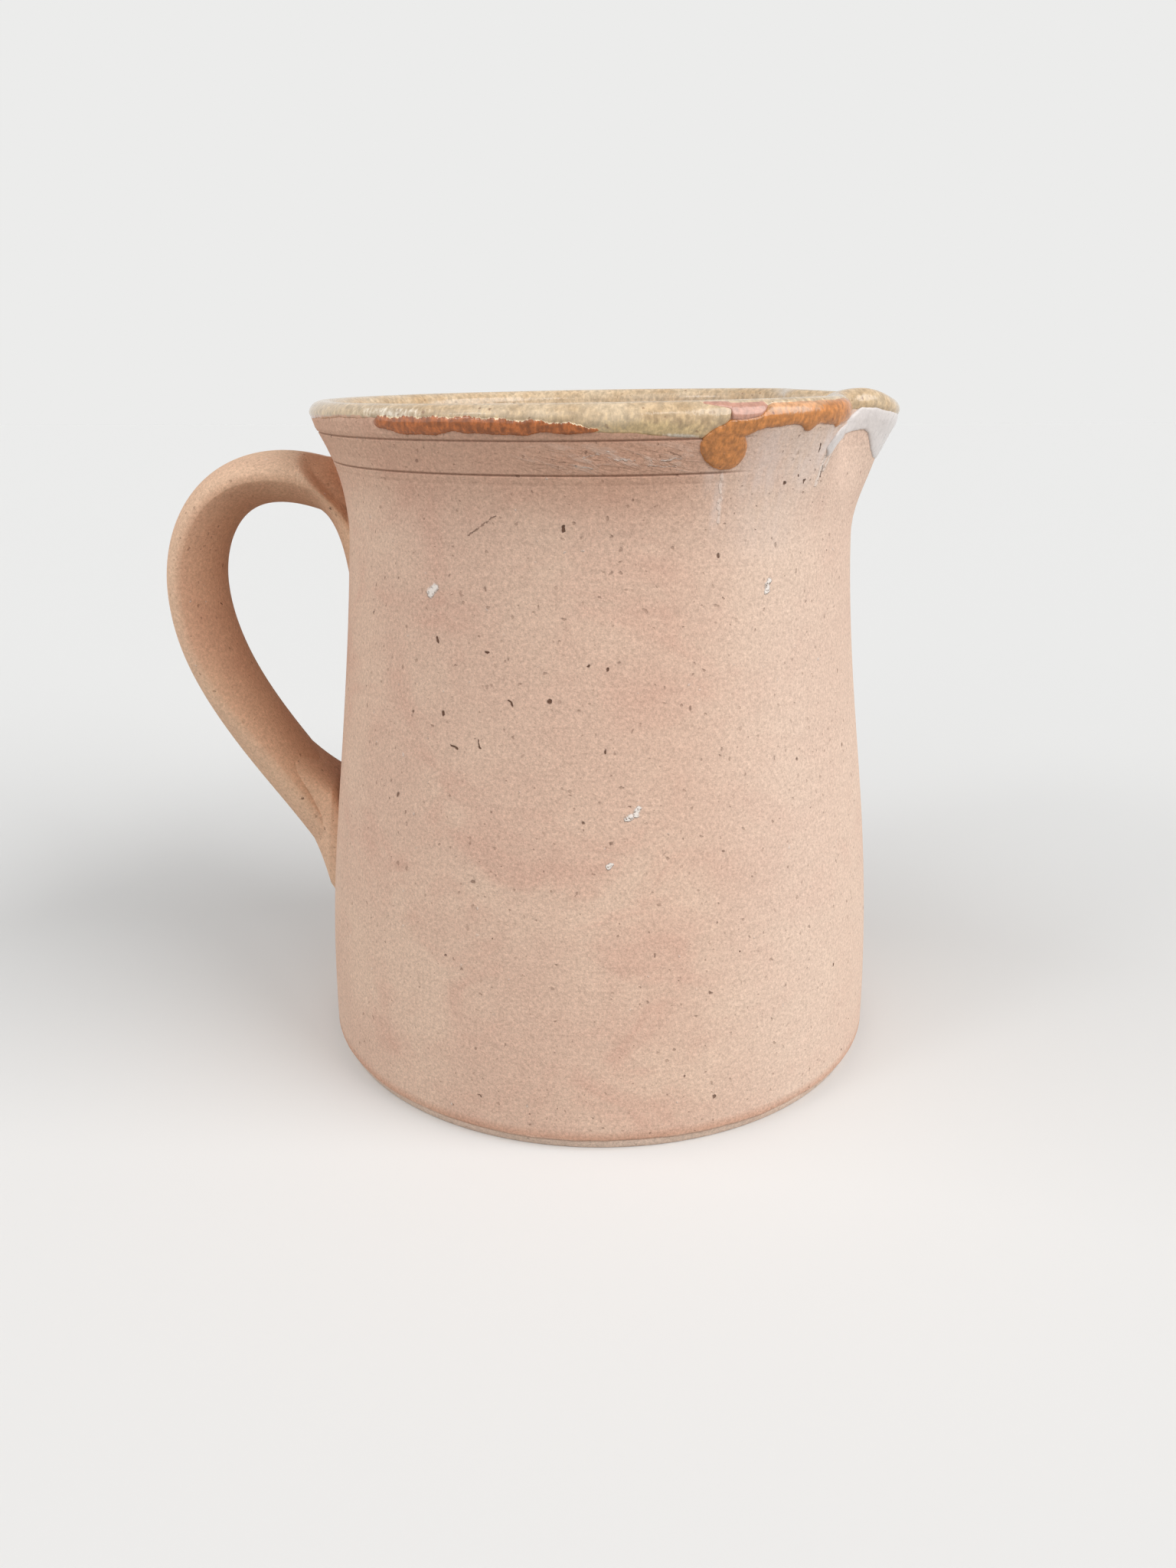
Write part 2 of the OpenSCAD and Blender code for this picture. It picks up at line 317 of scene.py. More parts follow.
class Shader(NodeMaker):
    """A material under construction, around one Principled shader."""

    # Share of a dot's radius, or of a mark's half width, that has its full strength
    soft_edge: float = 0.5
    # Places of the two colours and of the result among the sockets of a Mix node
    mix_a: int = 6
    mix_b: int = 7
    mix_result: int = 2

    def __init__(self, name: str) -> None:
        """Start a material.

        Args:
            name: Name of the material.
        """
        self.material = bpy.data.materials.new(name)
        self.material.use_nodes = True
        super().__init__(self.material.node_tree)
        self.place = self.add("TexCoord", {}).outputs["Object"]

    def cloud(self, cloud: Cloud) -> bpy.types.NodeSocket:
        """Cloudy noise from 0 to 1, on Object coordinates.

        Args:
            cloud: The kind of noise.

        Returns:
            The noise.
        """
        where = self.place
        if cloud.stretch:
            scale = tuple(1.0 / size for size in cloud.stretch)
            turn = (0.0, np.radians(cloud.slant), 0.0)
            mapping = {"Vector": where, "Scale": scale, "Rotation": turn}
            where = self.add("Mapping", mapping, vector_type="TEXTURE").outputs["Vector"]
        inputs = {"Vector": where, "Scale": cloud.scale, "Detail": cloud.detail, "Roughness": cloud.rough,
                  "Distortion": cloud.swirl}
        return self.add("TexNoise", inputs).outputs["Fac"]

    def ragged(self, scale: float, reach_mm: float, flat: float = 1.0) -> bpy.types.NodeSocket:
        """Object coordinates pushed about by noise, so that what is drawn on them has ragged edges.

        Args:
            scale: Lumps of the noise per metre.
            reach_mm: Whole range of the push, in millimetres.
            flat: Stretch of the height, above 1 for marks that are wider than tall.

        Returns:
            The pushed coordinates.
        """
        noise = self.add("TexNoise", {"Vector": self.place, "Scale": scale}).outputs["Color"]
        reach = reach_mm * MM
        push = self.add("VectorMath", {0: noise, 1: (reach,) * 3, 2: self.place}, operation="MULTIPLY_ADD")
        middle = -0.5 * reach
        mapping = {"Vector": push.outputs["Vector"], "Scale": (1.0, 1.0, flat),
                   "Location": (middle, middle, middle * flat)}
        return self.add("Mapping", mapping).outputs["Vector"]

    def scatter(self, dots: Scatter, where: bpy.types.NodeSocket) -> bpy.types.NodeSocket:
        """Scattered dots: up to 1 at the middle of some cells and 0 past a radius that differs by cell.

        Args:
            dots: The kind of dots.
            where: Coordinates.

        Returns:
            The strength of the dot at each place.
        """
        cells = self.add("TexVoronoi", {"Vector": where, "Scale": dots.scale}).outputs
        draw = self.add("SeparateColor", {"Color": cells["Color"]}).outputs
        chosen = self.math("LESS_THAN", draw["Red"], dots.share)
        size = self.spread(draw["Green"], dots.radius * dots.smallest, dots.radius)
        near = self.math("DIVIDE", cells["Distance"], size)
        depth = self.math("MULTIPLY", chosen, self.spread(draw["Blue"], dots.faintest, 1.0))
        return self.math("MULTIPLY", depth, self.step(near, 1.0, self.soft_edge))

    def stroke(self, mark: Mark, where: bpy.types.NodeSocket) -> bpy.types.NodeSocket:
        """One short mark: full on the line from its start to its end, and 0 past its half width.

        The distance is taken to the nearest point of the line, whose share of the way is the dot product of
        the way and the offset from the start, held between 0 and 1.

        Args:
            mark: The mark.
            where: Coordinates.

        Returns:
            The strength of the mark at each place.
        """
        start = np.array(mark.start) * MM
        way = np.array(mark.end) * MM - start
        half_width = mark.half_width * MM
        offset = self.add("VectorMath", {0: where, 1: start.tolist()}, operation="SUBTRACT").outputs["Vector"]
        measure = (way / (way @ way)).tolist()
        dot = self.add("VectorMath", {0: offset, 1: measure}, operation="DOT_PRODUCT").outputs["Value"]
        share = self.add("Clamp", {"Value": dot}).outputs["Result"]
        nearest = self.add("VectorMath", {0: way.tolist(), "Scale": share}, operation="SCALE")
        ends = {0: offset, 1: nearest.outputs["Vector"]}
        away = self.add("VectorMath", ends, operation="DISTANCE").outputs["Value"]
        return self.step(away, half_width, half_width * self.soft_edge, mark.strength)

    def step(self, value: object, low: float, high: float, top: float = 1.0) -> bpy.types.NodeSocket:
        """Smooth step of a value: 0 at low and top at high."""
        inputs = {"Value": value, "From Min": low, "From Max": high, "To Max": top}
        return self.add("MapRange", inputs, interpolation_type="SMOOTHSTEP").outputs["Result"]

    def spread(self, value: object, low: float, high: float) -> bpy.types.NodeSocket:
        """Straight spread of a 0 to 1 value over low to high."""
        return self.add("MapRange", {"Value": value, "To Min": low, "To Max": high}).outputs["Result"]

    def mix(self, share: object, a: object, b: object, blend: str = "MIX") -> bpy.types.NodeSocket:
        """Mix two colours by a share of the second."""
        inputs = {"Factor": share, self.mix_a: a, self.mix_b: b}
        return self.add("Mix", inputs, data_type="RGBA", blend_type=blend).outputs[self.mix_result]

    def toned(self, colour: object, value: object, swing: float) -> bpy.types.NodeSocket:
        """A colour times a grey that a 0 to 1 value moves to both sides of 1.

        Args:
            colour: The colour.
            value: The value.
            swing: How far the grey moves from 1.

        Returns:
            The toned colour.
        """
        level = self.spread(value, 1.0 - swing, 1.0 + swing)
        grey = self.add("CombineColor", dict.fromkeys(range(3), level)).outputs["Color"]
        return self.mix(1.0, colour, grey, "MULTIPLY")

    def painted(self, name: str) -> bpy.types.NodeSocket:
        """A number that is stored on the piece's points."""
        return self.add("Attribute", {}, attribute_name=name).outputs["Fac"]

    def relief(self, *layers: tuple[object, float]) -> bpy.types.NodeSocket:
        """Relief of heights, each laid over the one before.

        Args:
            layers: Heights from 0 to 1, each with its depth in millimetres.

        Returns:
            The normal.
        """
        under = {}
        for height, depth in layers:
            bump = self.add("Bump", {"Height": height, "Strength": 1.0, "Distance": depth * MM, **under})
            under = {"Normal": bump.outputs["Normal"]}
        return under["Normal"]

    def finished(self, colour: object, roughness: object, specular: float,
                 relief: object = None) -> bpy.types.Material:
        """Feed the Principled shader.

        Args:
            colour: Base colour.
            roughness: Roughness, a number or an output.
            specular: Specular level.
            relief: Relief, or none for a flat surface.

        Returns:
            The material.
        """
        surface = self.tree.nodes["Principled BSDF"].inputs
        self.feed(surface["Base Color"], colour)
        self.feed(surface["Roughness"], roughness)
        self.feed(surface["Specular IOR Level"], specular)
        if relief is not None:
            self.feed(surface["Normal"], relief)
        return self.material


@dataclass(frozen=True)
class ClayFinish:
    """Bare fired earthenware: rosy and sandy clouds, a fine grain, turning lines, pores and a pale wash."""

    name: str
    main: Tint
    rosy: Tint
    sandy: Tint
    # Tint of the deep tone: painted shade on the collar, with a warmer tone, and on the handle's flank and
    # recess
    deep: Tint
    # Tint of painted light: the body's lit side and foot chamfer, the handle's outer face
    pale: Tint = Tint(228, 204, 187)
    marks: tuple[Mark, ...] = ()
    # Tint of painted shade: inside pores, pits and scratches, in the turned lines and under the foot's
    # overhang
    pit_shade: Tint = Tint(86, 54, 38)
    scraped: Tint = Tint(236, 219, 206)
    wash: Tint = Tint(232, 217, 211)
    chip: Tint = Tint(240, 230, 222)
    clouds: Cloud = Cloud(24.0, 4.0, 0.55)
    cloud_step: Span = (0.36, 0.66)
    blush: Cloud = Cloud(38.0, swirl=0.6, stretch=(1.0, 1.0, 1.4))
    blush_step: tuple[float, float, float] = (0.42, 0.78, 0.75)
    grain: Cloud = Cloud(1250.0, 2.0, 0.65)
    grain_swing: float = 0.37
    grain_depth: float = 0.16
    sand: Cloud = Cloud(2900.0, 1.0)
    sand_swing: float = 0.22
    turning: Cloud = Cloud(stretch=(9.0, 9.0, 620.0))
    turning_swing: float = 0.04
    turning_depth: float = 0.09
    streaks: Cloud = Cloud(stretch=(420.0, 420.0, 38.0))
    streak_step: Span = (0.3, 0.62)
    thinnest_wash: float = 0.35
    smear: Cloud = Cloud(1.0, 4.0, 0.65, 0.9, (110.0, 110.0, 620.0), 14.0)
    smear_step: tuple[float, float, float] = (0.5, 0.66, 0.4)
    smear_depth: float = 0.95
    dot_edge: tuple[float, float, float] = (560.0, 2.0, 0.9)
    pores: Scatter = Scatter(430.0, 0.75, 0.24)
    holes: Scatter = Scatter(150.0, 0.55, 0.11)
    pits: Scatter = Scatter(60.0, 0.4, 0.06)
    flecks: Scatter = Scatter(260.0, 0.4, 0.13)
    mark_edge: Span = (650.0, 1.5)
    mark_depth: float = 0.35
    pore_strength: float = 0.45
    pit_shade_strength: float = 0.9
    fleck_strength: float = 0.5
    chip_step: Span = (0.28, 0.46)
    roughness: float = 0.93
    specular: float = 0.18

    def marked(self, s: Shader, kind: MarkKind, total: bpy.types.NodeSocket) -> bpy.types.NodeSocket:
        """Add all marks of one kind to the scattered ones, each a ragged stroke.

        Args:
            s: The material under construction.
            kind: Which marks to add.
            total: Strength of the scattered marks.

        Returns:
            The strength of all the marks.
        """
        where = s.ragged(*self.mark_edge)
        for mark in self.marks:
            if mark.kind is kind:
                total = s.math("MAXIMUM", total, s.stroke(mark, where))
        return total

    def material(self) -> bpy.types.Material:
        """Build the material.

        Returns:
            The finish, which reads the attributes deep, pale, wash, smear and shade of its piece.
        """
        s = Shader(self.name)
        ragged = s.ragged(*self.dot_edge)
        grain, turning, smear = s.cloud(self.grain), s.cloud(self.turning), s.cloud(self.smear)
        colour = s.mix(s.step(s.cloud(self.clouds), *self.cloud_step), self.main, self.sandy)
        colour = s.mix(s.step(s.cloud(self.blush), *self.blush_step), colour, self.rosy)
        # Painted light: paler on the lit side and the foot's chamfer, and on the handle's outer face
        colour = s.mix(s.painted("pale"), colour, self.pale)
        # Painted shade: darker under the lip with a warmer tone, on the handle's inner flank and in its
        # recess; also a darker band above the foot
        colour = s.mix(s.painted("deep"), colour, self.deep)
        colour = s.toned(colour, grain, self.grain_swing)
        colour = s.toned(colour, s.cloud(self.sand), self.sand_swing)
        colour = s.toned(colour, turning, self.turning_swing)
        streaks = s.step(s.cloud(self.streaks), *self.streak_step)
        veil = s.math("MULTIPLY", s.painted("wash"), s.spread(streaks, self.thinnest_wash, 1.0))
        colour = s.mix(veil, colour, self.wash)
        scraped = s.math("MULTIPLY", s.step(smear, *self.smear_step), s.painted("smear"))
        colour = s.mix(scraped, colour, self.scraped)
        # Painted shade inside the pores, pits and scratches, which are also dented in the relief
        pores = s.math("MULTIPLY", s.scatter(self.pores, ragged), self.pore_strength)
        holes = s.math("MAXIMUM", s.scatter(self.holes, ragged), s.scatter(self.pits, ragged))
        dark = self.marked(s, MarkKind.PIT, s.math("MAXIMUM", pores, holes))
        colour = s.mix(s.math("MULTIPLY", dark, self.pit_shade_strength), colour, self.pit_shade)
        # Painted shade in the turned lines and under the foot's overhang
        colour = s.mix(s.painted("shade"), colour, self.pit_shade)
        flecks = s.math("MULTIPLY", s.scatter(self.flecks, ragged), self.fleck_strength)
        chips = self.marked(s, MarkKind.CHIP, flecks)
        chips = s.math("MULTIPLY", chips, s.step(grain, *self.chip_step))
        colour = s.mix(chips, colour, self.chip)
        dragged = s.math("MULTIPLY", smear, s.painted("smear"))
        relief = s.relief((grain, self.grain_depth), (turning, self.turning_depth),
                          (dragged, self.smear_depth), (s.math("SUBTRACT", chips, dark), self.mark_depth))
        return s.finished(colour, self.roughness, self.specular, relief)


@dataclass(frozen=True)
class GlazeFinish:
    """Glossy lead glaze: two cloudy tones, fine ticks that hang down, dark specks and faint orange peel."""

    name: str
    thin: Tint
    thick: Tint
    rich: Tint
    pale: Tint
    fringe: Tint
    speck: Tint
    speck_share: float = 0.3
    contrast: float = 0.12
    roughness: float = 0.13
    clouds: Cloud = Cloud(70.0, 4.0)
    cloud_step: Span = (0.34, 0.66)
    ticks: Cloud = Cloud(1.0, 2.0, swirl=0.4, stretch=(1200.0, 1200.0, 420.0))
    tick_weight: float = 0.7
    tick_depth: float = 0.05
    mottle: Cloud = Cloud(720.0)
    mottle_weight: float = 1.1
    mottle_depth: float = 0.07
    mottle_gloss: float = 0.4
    unevenness: float = 0.45
    rich_step: Span = (0.15, 0.85)
    pale_step: Span = (0.25, 0.95)
    fringe_step: Span = (0.42, 0.72)
    contrast_step: Span = (0.3, 0.7)
    speck_edge: Span = (800.0, 1.2)
    fine_specks: Span = (460.0, 0.24)
    large_specks: Span = (200.0, 0.13)
    speck_strength: float = 0.8
    specular: float = 0.5

    def material(self) -> bpy.types.Material:
        """Build the material.

        Returns:
            The finish, which reads the attributes rich, pale and fringe of its piece.
        """
        s = Shader(self.name)
        ticks, mottle = s.cloud(self.ticks), s.cloud(self.mottle)
        colour = s.mix(s.step(s.cloud(self.clouds), *self.cloud_step), self.thin, self.thick)
        swings = [s.spread(tone, -self.unevenness, self.unevenness) for tone in (ticks, mottle)]
        uneven = s.math("ADD", *swings)
        edges = (("rich", self.rich, self.rich_step), ("pale", self.pale, self.pale_step),
                 ("fringe", self.fringe, self.fringe_step))
        for name, tint, limits in edges:
            share = s.step(s.math("ADD", s.painted(name), uneven), *limits)
            colour = s.mix(share, colour, tint)
        for tone, weight in ((ticks, self.tick_weight), (mottle, self.mottle_weight)):
            colour = s.toned(colour, s.step(tone, *self.contrast_step), weight * self.contrast)
        ragged = s.ragged(*self.speck_edge)
        specks = [s.scatter(Scatter(scale, self.speck_share, radius), ragged)
                  for scale, radius in (self.fine_specks, self.large_specks)]
        specked = s.math("MULTIPLY", s.math("MAXIMUM", *specks), self.speck_strength)
        colour = s.mix(specked, colour, self.speck)
        relief = s.relief((mottle, self.mottle_depth), (ticks, self.tick_depth))
        gloss = self.roughness * self.mottle_gloss
        roughness = s.spread(mottle, self.roughness - gloss, self.roughness + gloss)
        return s.finished(colour, roughness, self.specular, relief)


@dataclass(frozen=True)
class ThrownForm:
    """The turned profile of the jug and the pull of its spout, which every coat and joint follows."""

    body_height: float = 180.0
    base_radius: float = 79.88
    waist_radius: float = 67.8
    waist_depth: float = 32.0
    lip_radius: float = 75.4
    lip_thickness: float = 6.0
    lip_proud: float = 0.8
    wall: float = 6.0
    floor_thickness: float = 8.0
    floor_corner: float = 12.0
    floor_middle: float = 2.0
    rim_rise: float = 1.0
    foot_height: float = 3.0
    tip_pull: float = 3.0
    tip_spread: float = 17.0
    pinch_depth: float = 7.5
    pinch_angle: float = 28.0
    pinch_spread: float = 8.5
    spout_depth: float = 34.0
    pinch_start: float = 24.0
    tip_droop: float = 1.9
    droop_share: float = 2.0 / 3.0
    shoulder_lift: float = 1.58
    shoulder_angle: float = 21.0
    shoulder_spread: float = 6.0
    belly_power: float = 1.5
    flare_power: float = 2.1
    bead_start: float = -20.0
    wobble: float = 0.11
    wobble_start: Span = (4.0, 30.0)
    sways: tuple[tuple[float, int, float, float], ...] = ((1.0, 2, 0.0, 0.045), (0.6, 3, 70.0, -0.08))
    least_depth: float = 0.02
    slope_step: float = 0.01

    @property
    def waist_z(self) -> float:
        """Height of the waist."""
        return self.body_height - self.waist_depth

    @property
    def roll_z(self) -> float:
        """Height of the lip's root."""
        return self.body_height - self.lip_thickness

    @property
    def bead(self) -> float:
        """Radius of the lip's round bead."""
        return self.lip_thickness / 2.0

    @property
    def bead_middle(self) -> np.ndarray:
        """Radius and height of the middle of the lip's bead."""
        return np.array([self.lip_radius - self.bead, self.body_height - self.bead])

    def bead_point(self, angle: np.ndarray | float) -> np.ndarray:
        """Radius and height on the lip's bead at an angle above the horizontal."""
        turn = np.radians(angle)
        return self.bead_middle + self.bead * np.stack([np.cos(turn), np.sin(turn)], -1)

    def outer_radius(self, z: np.ndarray) -> np.ndarray:
        """Outer radius of the clay at a height.

        A sine power from the foot to the waist, a power curve for the flare of the collar, a short straight
        line to the bead, and the bead's circle.

        Args:
            z: Heights on the turned profile.

        Returns:
            The radius at each height.
        """
        belly = np.clip((self.waist_z - z) / (self.waist_z - self.foot_height), 0.0, 1.0)
        swell = np.sin(np.pi / 2 * belly) ** self.belly_power
        low = self.waist_radius + (self.base_radius - self.waist_radius) * swell
        root = self.lip_radius - self.lip_proud
        flare = np.clip((z - self.waist_z) / (self.roll_z - self.waist_z), 0.0, 1.0)
        high = self.waist_radius + (root - self.waist_radius) * flare ** self.flare_power
        middle_r, middle_z = self.bead_middle
        start_r, start_z = self.bead_point(self.bead_start)
        roll = root + (start_r - root) * np.clip((z - self.roll_z) / (start_z - self.roll_z), 0.0, 1.0)
        round_lip = middle_r + np.sqrt(np.clip(self.bead**2 - (z - middle_z) ** 2, 0.0, None))
        return np.select([z <= self.waist_z, z <= self.roll_z, z <= start_z], [low, high, roll], round_lip)

    def inside(self, rows: int, floor_rows: int) -> np.ndarray:
        """Profile of the inside, from under the lip down the wall, round the corner and along the floor.

        Args:
            rows: Points down the wall.
            floor_rows: Points on the corner, and as many on the floor.

        Returns:
            Radius and height of each point.
        """
        corner_z = self.floor_thickness + self.floor_corner
        levels = np.linspace(self.body_height - self.bead, corner_z, rows + 1)[1:]
        wall = np.stack([self.outer_radius(levels) - self.wall, levels], -1)
        turn = np.radians(np.linspace(0.0, 90.0, floor_rows + 1)[1:])
        centre = np.array([wall[-1, 0] - self.floor_corner, corner_z])
        corner = centre + self.floor_corner * np.stack([np.cos(turn), -np.sin(turn)], -1)
        reach = np.linspace(centre[0], self.floor_middle, floor_rows + 1)[1:]
        floor = np.stack([reach, np.full(floor_rows, self.floor_thickness)], -1)
        return np.concatenate([wall, corner, floor])

    def place(self, radius: np.ndarray, z: np.ndarray, angle: np.ndarray) -> np.ndarray:
        """Carry profile points round to their angles, with the pull of the spout and the thrower's wobble.

        The spout's tip is a bell pulled outwards and down, a finger's pinch on each side is a bell pushed
        inwards, the near shoulder between them is a bell lifted up, and all fade in with height. The rim
        rises towards the spout by a cosine. The wobble is a sum of sines round the jug, each with a height,
        a number of lobes, a turn in degrees and a twist in radians per millimetre of height.

        Args:
            radius: Radius on the turned profile.
            z: Height on the turned profile.
            angle: Angle from the spout.

        Returns:
            Points, with x, y and z along the last axis.
        """
        a = wrapped(angle)
        top = self.body_height
        pinched = smooth(top - self.pinch_start, top - self.bead, z)
        started = smooth(top - self.spout_depth, top - self.spout_depth / 2, z)
        out = self.tip_pull * bell(a, self.tip_spread) * started
        for side in (self.pinch_angle, -self.pinch_angle):
            out = out - self.pinch_depth * bell(a - side, self.pinch_spread) * pinched
        droop = self.tip_droop * bell(a, self.pinch_angle * self.droop_share)
        lift = self.shoulder_lift * bell(a + self.shoulder_angle, self.shoulder_spread)
        up = self.rim_rise * np.cos(np.radians(a)) * smooth(self.waist_z, top, z)
        up = up + (lift - droop) * smooth(top - self.pinch_start, top, z)
        for height, lobes, turn, twist in self.sways:
            sway = height * np.sin(np.radians(lobes * a + turn) + twist * z)
            out = out + self.wobble * sway * smooth(*self.wobble_start, z)
        r = radius + out
        way = np.radians(a)
        return np.stack(np.broadcast_arrays(r * np.cos(way), r * np.sin(way), z + up), -1)

    def coat(self, depth: np.ndarray, angle: np.ndarray, proud: np.ndarray | float) -> np.ndarray:
        """Points off the outer wall, along the profile's own normal, which its slope gives.

        Args:
            depth: Depth below the rim on the turned profile.
            angle: Angle from the spout.
            proud: Distance off the clay, below 0 inside it.

        Returns:
            Points, with x, y and z along the last axis.
        """
        z = self.body_height - np.maximum(depth, self.least_depth)
        rise = self.outer_radius(z + self.slope_step) - self.outer_radius(z - self.slope_step)
        slope = rise / (2.0 * self.slope_step)
        length = np.sqrt(1.0 + slope**2)
        return self.place(self.outer_radius(z) + proud / length, z - proud * slope / length, angle)

    def on_wall(self, angle: float, z: float) -> Point:
        """One point of the outer wall."""
        return tuple(self.coat(np.array(self.body_height - z), np.array(angle), 0.0).tolist())

    def mark(self, kind: MarkKind, start: Span, end: Span, half_width: float, strength: float = 1.0) -> Mark:
        """A mark on the outer wall between two places, each an angle and a height."""
        return Mark(kind, self.on_wall(*start), self.on_wall(*end), half_width, strength)


FORM = ThrownForm()

# Marks on the wall: angle and height of each end, half width, and strength where it is not full
# The pits and scratches get painted shade inside them
WALL_PITS = (
    ((-96.8, 154.0), (-96.6, 153.3), 0.52), ((-115.8, 151.6), (-109.8, 156.1), 0.22, 0.6),
    ((-123.6, 127.2), (-123.5, 126.2), 0.4), ((-112.1, 125.1), (-111.8, 124.9), 0.42),
    ((-107.2, 114.1), (-106.6, 113.1), 0.4), ((-99.5, 114.9), (-99.2, 114.7), 0.56),
    ((-121.6, 109.6), (-121.5, 108.9), 0.5), ((-119.4, 102.0), (-118.1, 101.5), 0.42),
    ((-113.5, 104.2), (-113.1, 102.4), 0.35), ((-92.0, 123.4), (-92.0, 123.0), 0.36),
    ((-88.5, 122.4), (-88.4, 122.0), 0.42), ((-88.9, 103.7), (-88.8, 103.3), 0.32),
    ((-45.8, 170.2), (-45.5, 168.6), 0.3), ((-42.2, 165.0), (-42.0, 162.8), 0.35),
    ((-49.2, 163.9), (-49.1, 162.9), 0.25), ((-78.4, 170.4), (-76.0, 169.2), 0.18, 0.4),
    ((-98.0, 168.8), (-93.0, 167.1), 0.18, 0.3),
)
WALL_CHIPS = (
    ((-125.6, 137.2), (-124.4, 138.6), 1.3), ((-54.9, 137.8), (-54.2, 140.2), 0.9),
    ((-82.9, 89.6), (-83.2, 88.6), 1.0), ((-84.9, 87.4), (-84.0, 87.8), 0.8),
    ((-88.2, 75.8), (-87.8, 76.4), 0.7), ((-42.2, 167.7), (-42.9, 161.2), 0.8, 0.45),
    ((-39.7, 169.0), (-41.3, 164.5), 0.7, 0.5), ((-67.4, 164.9), (-66.8, 154.5), 0.6, 0.3),
    ((-95.0, 167.8), (-91.3, 166.8), 0.24, 0.45), ((-93.4, 169.4), (-88.3, 170.5), 0.24, 0.4),
    ((-88.6, 169.1), (-83.8, 168.6), 0.24, 0.45), ((-80.9, 168.4), (-75.8, 168.7), 0.24, 0.5),
    ((-81.4, 167.4), (-76.7, 166.9), 0.22, 0.4),
)
WALL_MARKS = (
    *(FORM.mark(MarkKind.PIT, *row) for row in WALL_PITS),
    *(FORM.mark(MarkKind.CHIP, *row) for row in WALL_CHIPS),
)
HANDLE_MARKS = (
    Mark(MarkKind.PIT, (-93.3, -9.0, 157.2), (-93.0, -9.0, 156.8), 0.7),
    Mark(MarkKind.PIT, (-108.0, -14.0, 127.4), (-106.4, -14.0, 128.6), 0.3),
)

# The body's deep tint is mostly painted shade under the lip, and its pale tint is painted light
CLAY = ClayFinish(
    "bare_clay", main=Tint(214, 181, 161), rosy=Tint(209, 168, 149), sandy=Tint(220, 190, 169),
    deep=Tint(203, 154, 129), marks=WALL_MARKS)
# The handle's deep tint is painted shade and its pale tint is painted light
HANDLE_CLAY = ClayFinish(
    "handle_clay", main=Tint(212, 170, 142), rosy=Tint(207, 160, 134), sandy=Tint(218, 179, 149),
    deep=Tint(189, 139, 107), pale=Tint(231, 198, 170), marks=HANDLE_MARKS)
CREAM = GlazeFinish(
    "cream_glaze", thin=Tint(211, 188, 157), thick=Tint(196, 166, 128), rich=Tint(214, 187, 141),
    pale=Tint(226, 216, 200), fringe=Tint(203, 160, 132), speck=Tint(126, 84, 54), speck_share=0.8,
    contrast=0.17)
BROWN = GlazeFinish(
    "brown_glaze", thin=Tint(214, 162, 120), thick=Tint(203, 146, 97), rich=Tint(197, 128, 68),
    pale=Tint(214, 150, 96), fringe=Tint(214, 186, 146), speck=Tint(128, 70, 38), contrast=0.22)
# A darker copy of the brown glaze for the streak under the lip: partly painted shade, partly its own deeper
# brown
SHADED_STREAK_BROWN = GlazeFinish(
    "shaded_brown_streak_glaze", thin=Tint(197, 122, 70), thick=Tint(183, 106, 57), rich=Tint(173, 98, 48),
    pale=Tint(204, 146, 98), fringe=Tint(216, 194, 162), speck=Tint(118, 66, 36), contrast=0.3)
PINK = GlazeFinish(
    "pink_glaze", thin=Tint(198, 144, 124), thick=Tint(190, 133, 113), rich=Tint(198, 147, 127),
    pale=Tint(220, 186, 170), fringe=Tint(210, 174, 150), speck=Tint(182, 122, 102), speck_share=0.1,
    contrast=0.14)
WHITE = GlazeFinish(
    "white_slip", thin=Tint(234, 231, 228), thick=Tint(226, 222, 220), rich=Tint(222, 214, 211),
    pale=Tint(236, 234, 232), fringe=Tint(220, 196, 182), speck=Tint(204, 192, 188), speck_share=0.08,
    contrast=0.05, roughness=0.3)


